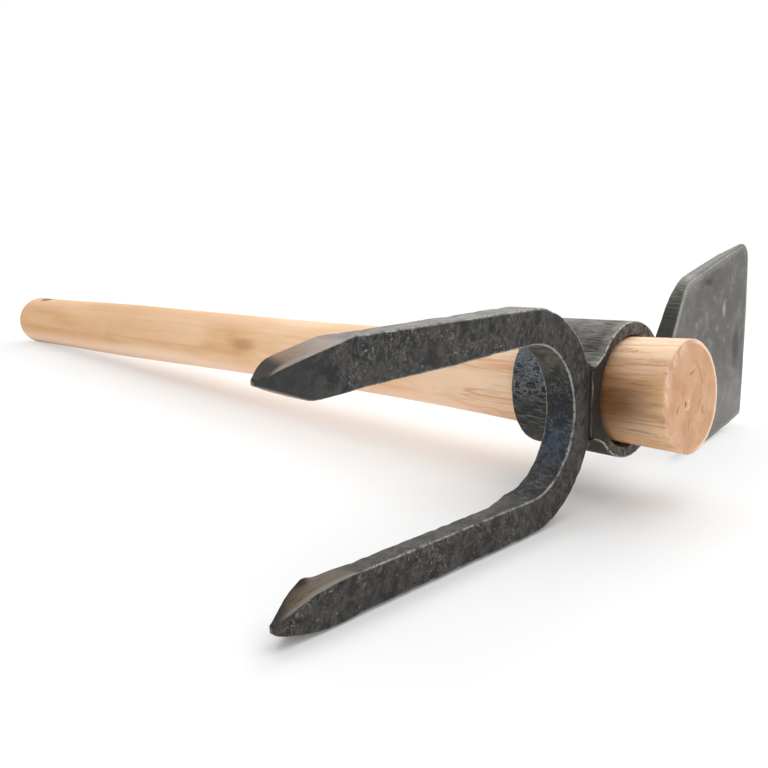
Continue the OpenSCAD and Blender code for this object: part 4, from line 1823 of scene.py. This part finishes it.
    def build(self, finish: bpy.types.Material) -> bpy.types.Object:
        """Builds the blade.

        Args:
            finish: The material.

        Returns:
            The dressed piece.
        """
        grid, gap = self.plan(self.front_shoulder_r)
        back_grid, back_gap = self.plan(self.back_shoulder_r)
        front, back = self.front_at(grid[..., 0]), self.back_at(back_grid[..., 0])
        thick = np.maximum(back - front, 0.4)
        front = front + self.rounding(self.front_round, gap, thick)
        back = back - self.rounding(self.back_round, back_gap, thick)
        face = points_at(front, -grid[..., 0], grid[..., 1])
        rear = points_at(back, -back_grid[..., 0], back_grid[..., 1])[:, ::-1]
        back_gap = back_gap[:, ::-1]
        across = np.array([0.2, 0.4, 0.6, 0.8])[:, None]
        ends = ((face[:, -1:], rear[:, :1]), (rear[:, -1:], face[:, :1]))
        upper, lower = (a + (b - a) * across for a, b in ends)
        points = np.concatenate([face, upper, rear, lower], axis=1)
        zeros = np.zeros(upper.shape[:2])
        edge = np.concatenate([gap, zeros, back_gap, zeros], axis=1)
        from_edge = self.edge_place + points[..., 1]
        edge = np.minimum(edge, np.maximum(np.abs(from_edge - 0.4) + 0.6, 0.9))
        on_face, on_rear = smooth((0.7 - gap) / 0.5), smooth((0.7 - back_gap) / 0.5)
        on_side = np.concatenate([on_face, zeros + 1, on_rear, zeros + 1], axis=1)
        skin = Skin(points, {"edge": edge, "strip": on_side}, (Closing.ZIP, Closing.ZIP))
        free = smooth((-points[..., 1] - self.seam - 0.3) / 2.0) * np.clip(from_edge / 2.0, 0.25, 1)
        dent = 0.12 * self.grit.layered(points, 26.0)
        nick = np.minimum(0.0, 0.12 * self.grit.layered(points, 3.0)) * smooth(1.6 - edge)
        skin.push((dent + nick) * free)
        skin.points = np.roll(skin.points, 2, axis=1)
        skin.marks = {key: np.roll(value, 2, axis=1) for key, value in skin.marks.items()}
        return dress(build_piece("hoe_blade_steel", skin, finish), "hoe_blade")


# The studio and the run


@dataclass
class Studio:
    """The pale floor, the soft light and the camera.

    The camera's place and directions are in the tool's axes, and its focal length in the pixels of
    the photograph. A lamp has a name, a place in metres, a width and a power.
    """

    eye: Triple = (-123.907, 279.813, 56.887)
    right: Triple = (-0.74314133, -0.66893884, -0.01618019)
    down: Triple = (-0.10430891, 0.13969685, -0.98468494)
    ahead: Triple = (0.66095433, -0.73007234, -0.17359079)
    focal_pixels: float = 950.0
    sensor: float = 36.0
    floor_half: float = 4.0
    floor_white: float = 0.95
    shadow_share: float = 0.80
    glow: float = 0.11
    fade_start: float = 0.26
    fade_end: float = 0.48
    beside_share: float = 0.6
    sky: float = 0.50
    aim: Triple = (0.0, 0.0, 0.03)
    lamps: Tuple[Tuple[str, Triple, float, float], ...] = (
        ("top_light", (-0.1, -0.35, 1.5), 2.6, 27.0),
        ("front_light", (-1.3, 1.0, 0.7), 1.0, 2.5),
        ("back_light", (0.3, -1.4, 0.9), 1.0, 8.0),
    )

    def camera(self) -> None:
        """Puts the camera where the photograph was taken from."""
        data = bpy.data.cameras.new("camera")
        data.sensor_fit = "HORIZONTAL"
        data.sensor_width = self.sensor
        data.lens = self.focal_pixels / PHOTO_PIXELS * self.sensor
        data.clip_start = 0.01
        data.clip_end = 20.0
        camera = bpy.data.objects.new("camera", data)
        place = np.eye(4)
        place[:3, :3] = (AXES.rotation() @ np.array([self.right, self.down, self.ahead]).T) * (1, -1, -1)
        place[:3, 3] = AXES.to_row(np.array(self.eye))
        camera.matrix_world = Matrix(place.tolist())
        bpy.context.scene.collection.objects.link(camera)
        bpy.context.scene.camera = camera

    def floor(self) -> None:
        """Lays the pale floor, which shows white away from the tool and soft shadows near it, with painted
        light that lifts the shadows beside the blade and the stub and under the far handle.
        """
        s = Shader(bpy.data.materials.new("floor_paper"))
        diffuse = "ShaderNodeBsdfDiffuse"
        paper = s.node(diffuse, {}, {"Color": (self.floor_white,) * 3})
        shown = s.node(diffuse, {}, {"Color": (self.shadow_share,) * 3})
        near = s.node("ShaderNodeAddShader", {}, {0: shown, 1: s.white("Emission", self.glow)})
        x, y, _ = s.parts(s.node("ShaderNodeTexCoord", output="Object"))
        # painted light that lifts the shadows beside the blade and the stub, and under the far handle
        lit_beside = y.ease(-0.005, -0.045) * x.ease(-0.15, -0.185) * self.beside_share
        far = s.far(x, 0.0, y, 0.0).ease(self.fade_start, self.fade_end)
        far = far.most(lit_beside).most(x.ease(0.0, 0.17) * 0.5)
        ground = s.mix(far, near, s.white("Emission", 1.0))
        s.node("ShaderNodeOutputMaterial", {}, {"Surface": s.mix(s.ray("Camera"), paper, ground)})
        k = self.floor_half
        mesh = bpy.data.meshes.new("floor")
        mesh.from_pydata([(-k, -k, 0), (k, -k, 0), (k, k, 0), (-k, k, 0)], [], [(0, 1, 2, 3)])
        mesh.materials.append(s.owner)
        floor = bpy.data.objects.new("floor", mesh)
        bpy.context.scene.collection.objects.link(floor)

    def world(self) -> None:
        """Lights the scene softly from all round, with a white background."""
        world = bpy.data.worlds.new("studio")
        bpy.context.scene.world = world
        s = Shader(world)
        seen = s.ray("Camera").most(s.ray("Transmission"))
        sky = s.mix(seen, s.white("Background", self.sky), s.white("Background", 1.0))
        s.node("ShaderNodeOutputWorld", {}, {"Surface": sky})

    def lamp(self, name: str, place: Triple, size: float, power: float) -> None:
        """Adds a square soft lamp that looks at the tool.

        Args:
            name: The lamp's name.
            place: Where it stands.
            size: Its width.
            power: Its power in watts.
        """
        data = bpy.data.lights.new(name, "AREA")
        data.shape = "SQUARE"
        data.size = size
        data.energy = power
        lamp = bpy.data.objects.new(name, data)
        lamp.location = place
        aim = Vector(self.aim) - Vector(place)
        lamp.rotation_euler = aim.to_track_quat("-Z", "Y").to_euler()
        bpy.context.scene.collection.objects.link(lamp)

    def build(self) -> None:
        """Builds the camera, the floor and the lights."""
        self.camera()
        self.floor()
        self.world()
        for lamp in self.lamps:
            self.lamp(*lamp)
        bpy.context.scene.view_settings.view_transform = "Standard"


def main() -> None:
    """Builds the tool and its studio."""
    logging.basicConfig(level=logging.INFO)
    pieces = [
        Handle().build(Pine().make()),
        EyeRing().build(RingSteel().make()),
        Fork().build(ForgeScale().make()),
        HoeBlade().build(BladeSteel().make()),
    ]
    pieces += build_welds(WeldMetal().make())
    for piece in pieces:
        log.info("%s: %d faces", piece.name, len(piece.data.polygons))
    Studio().build()


if __name__ == "__main__":
    main()
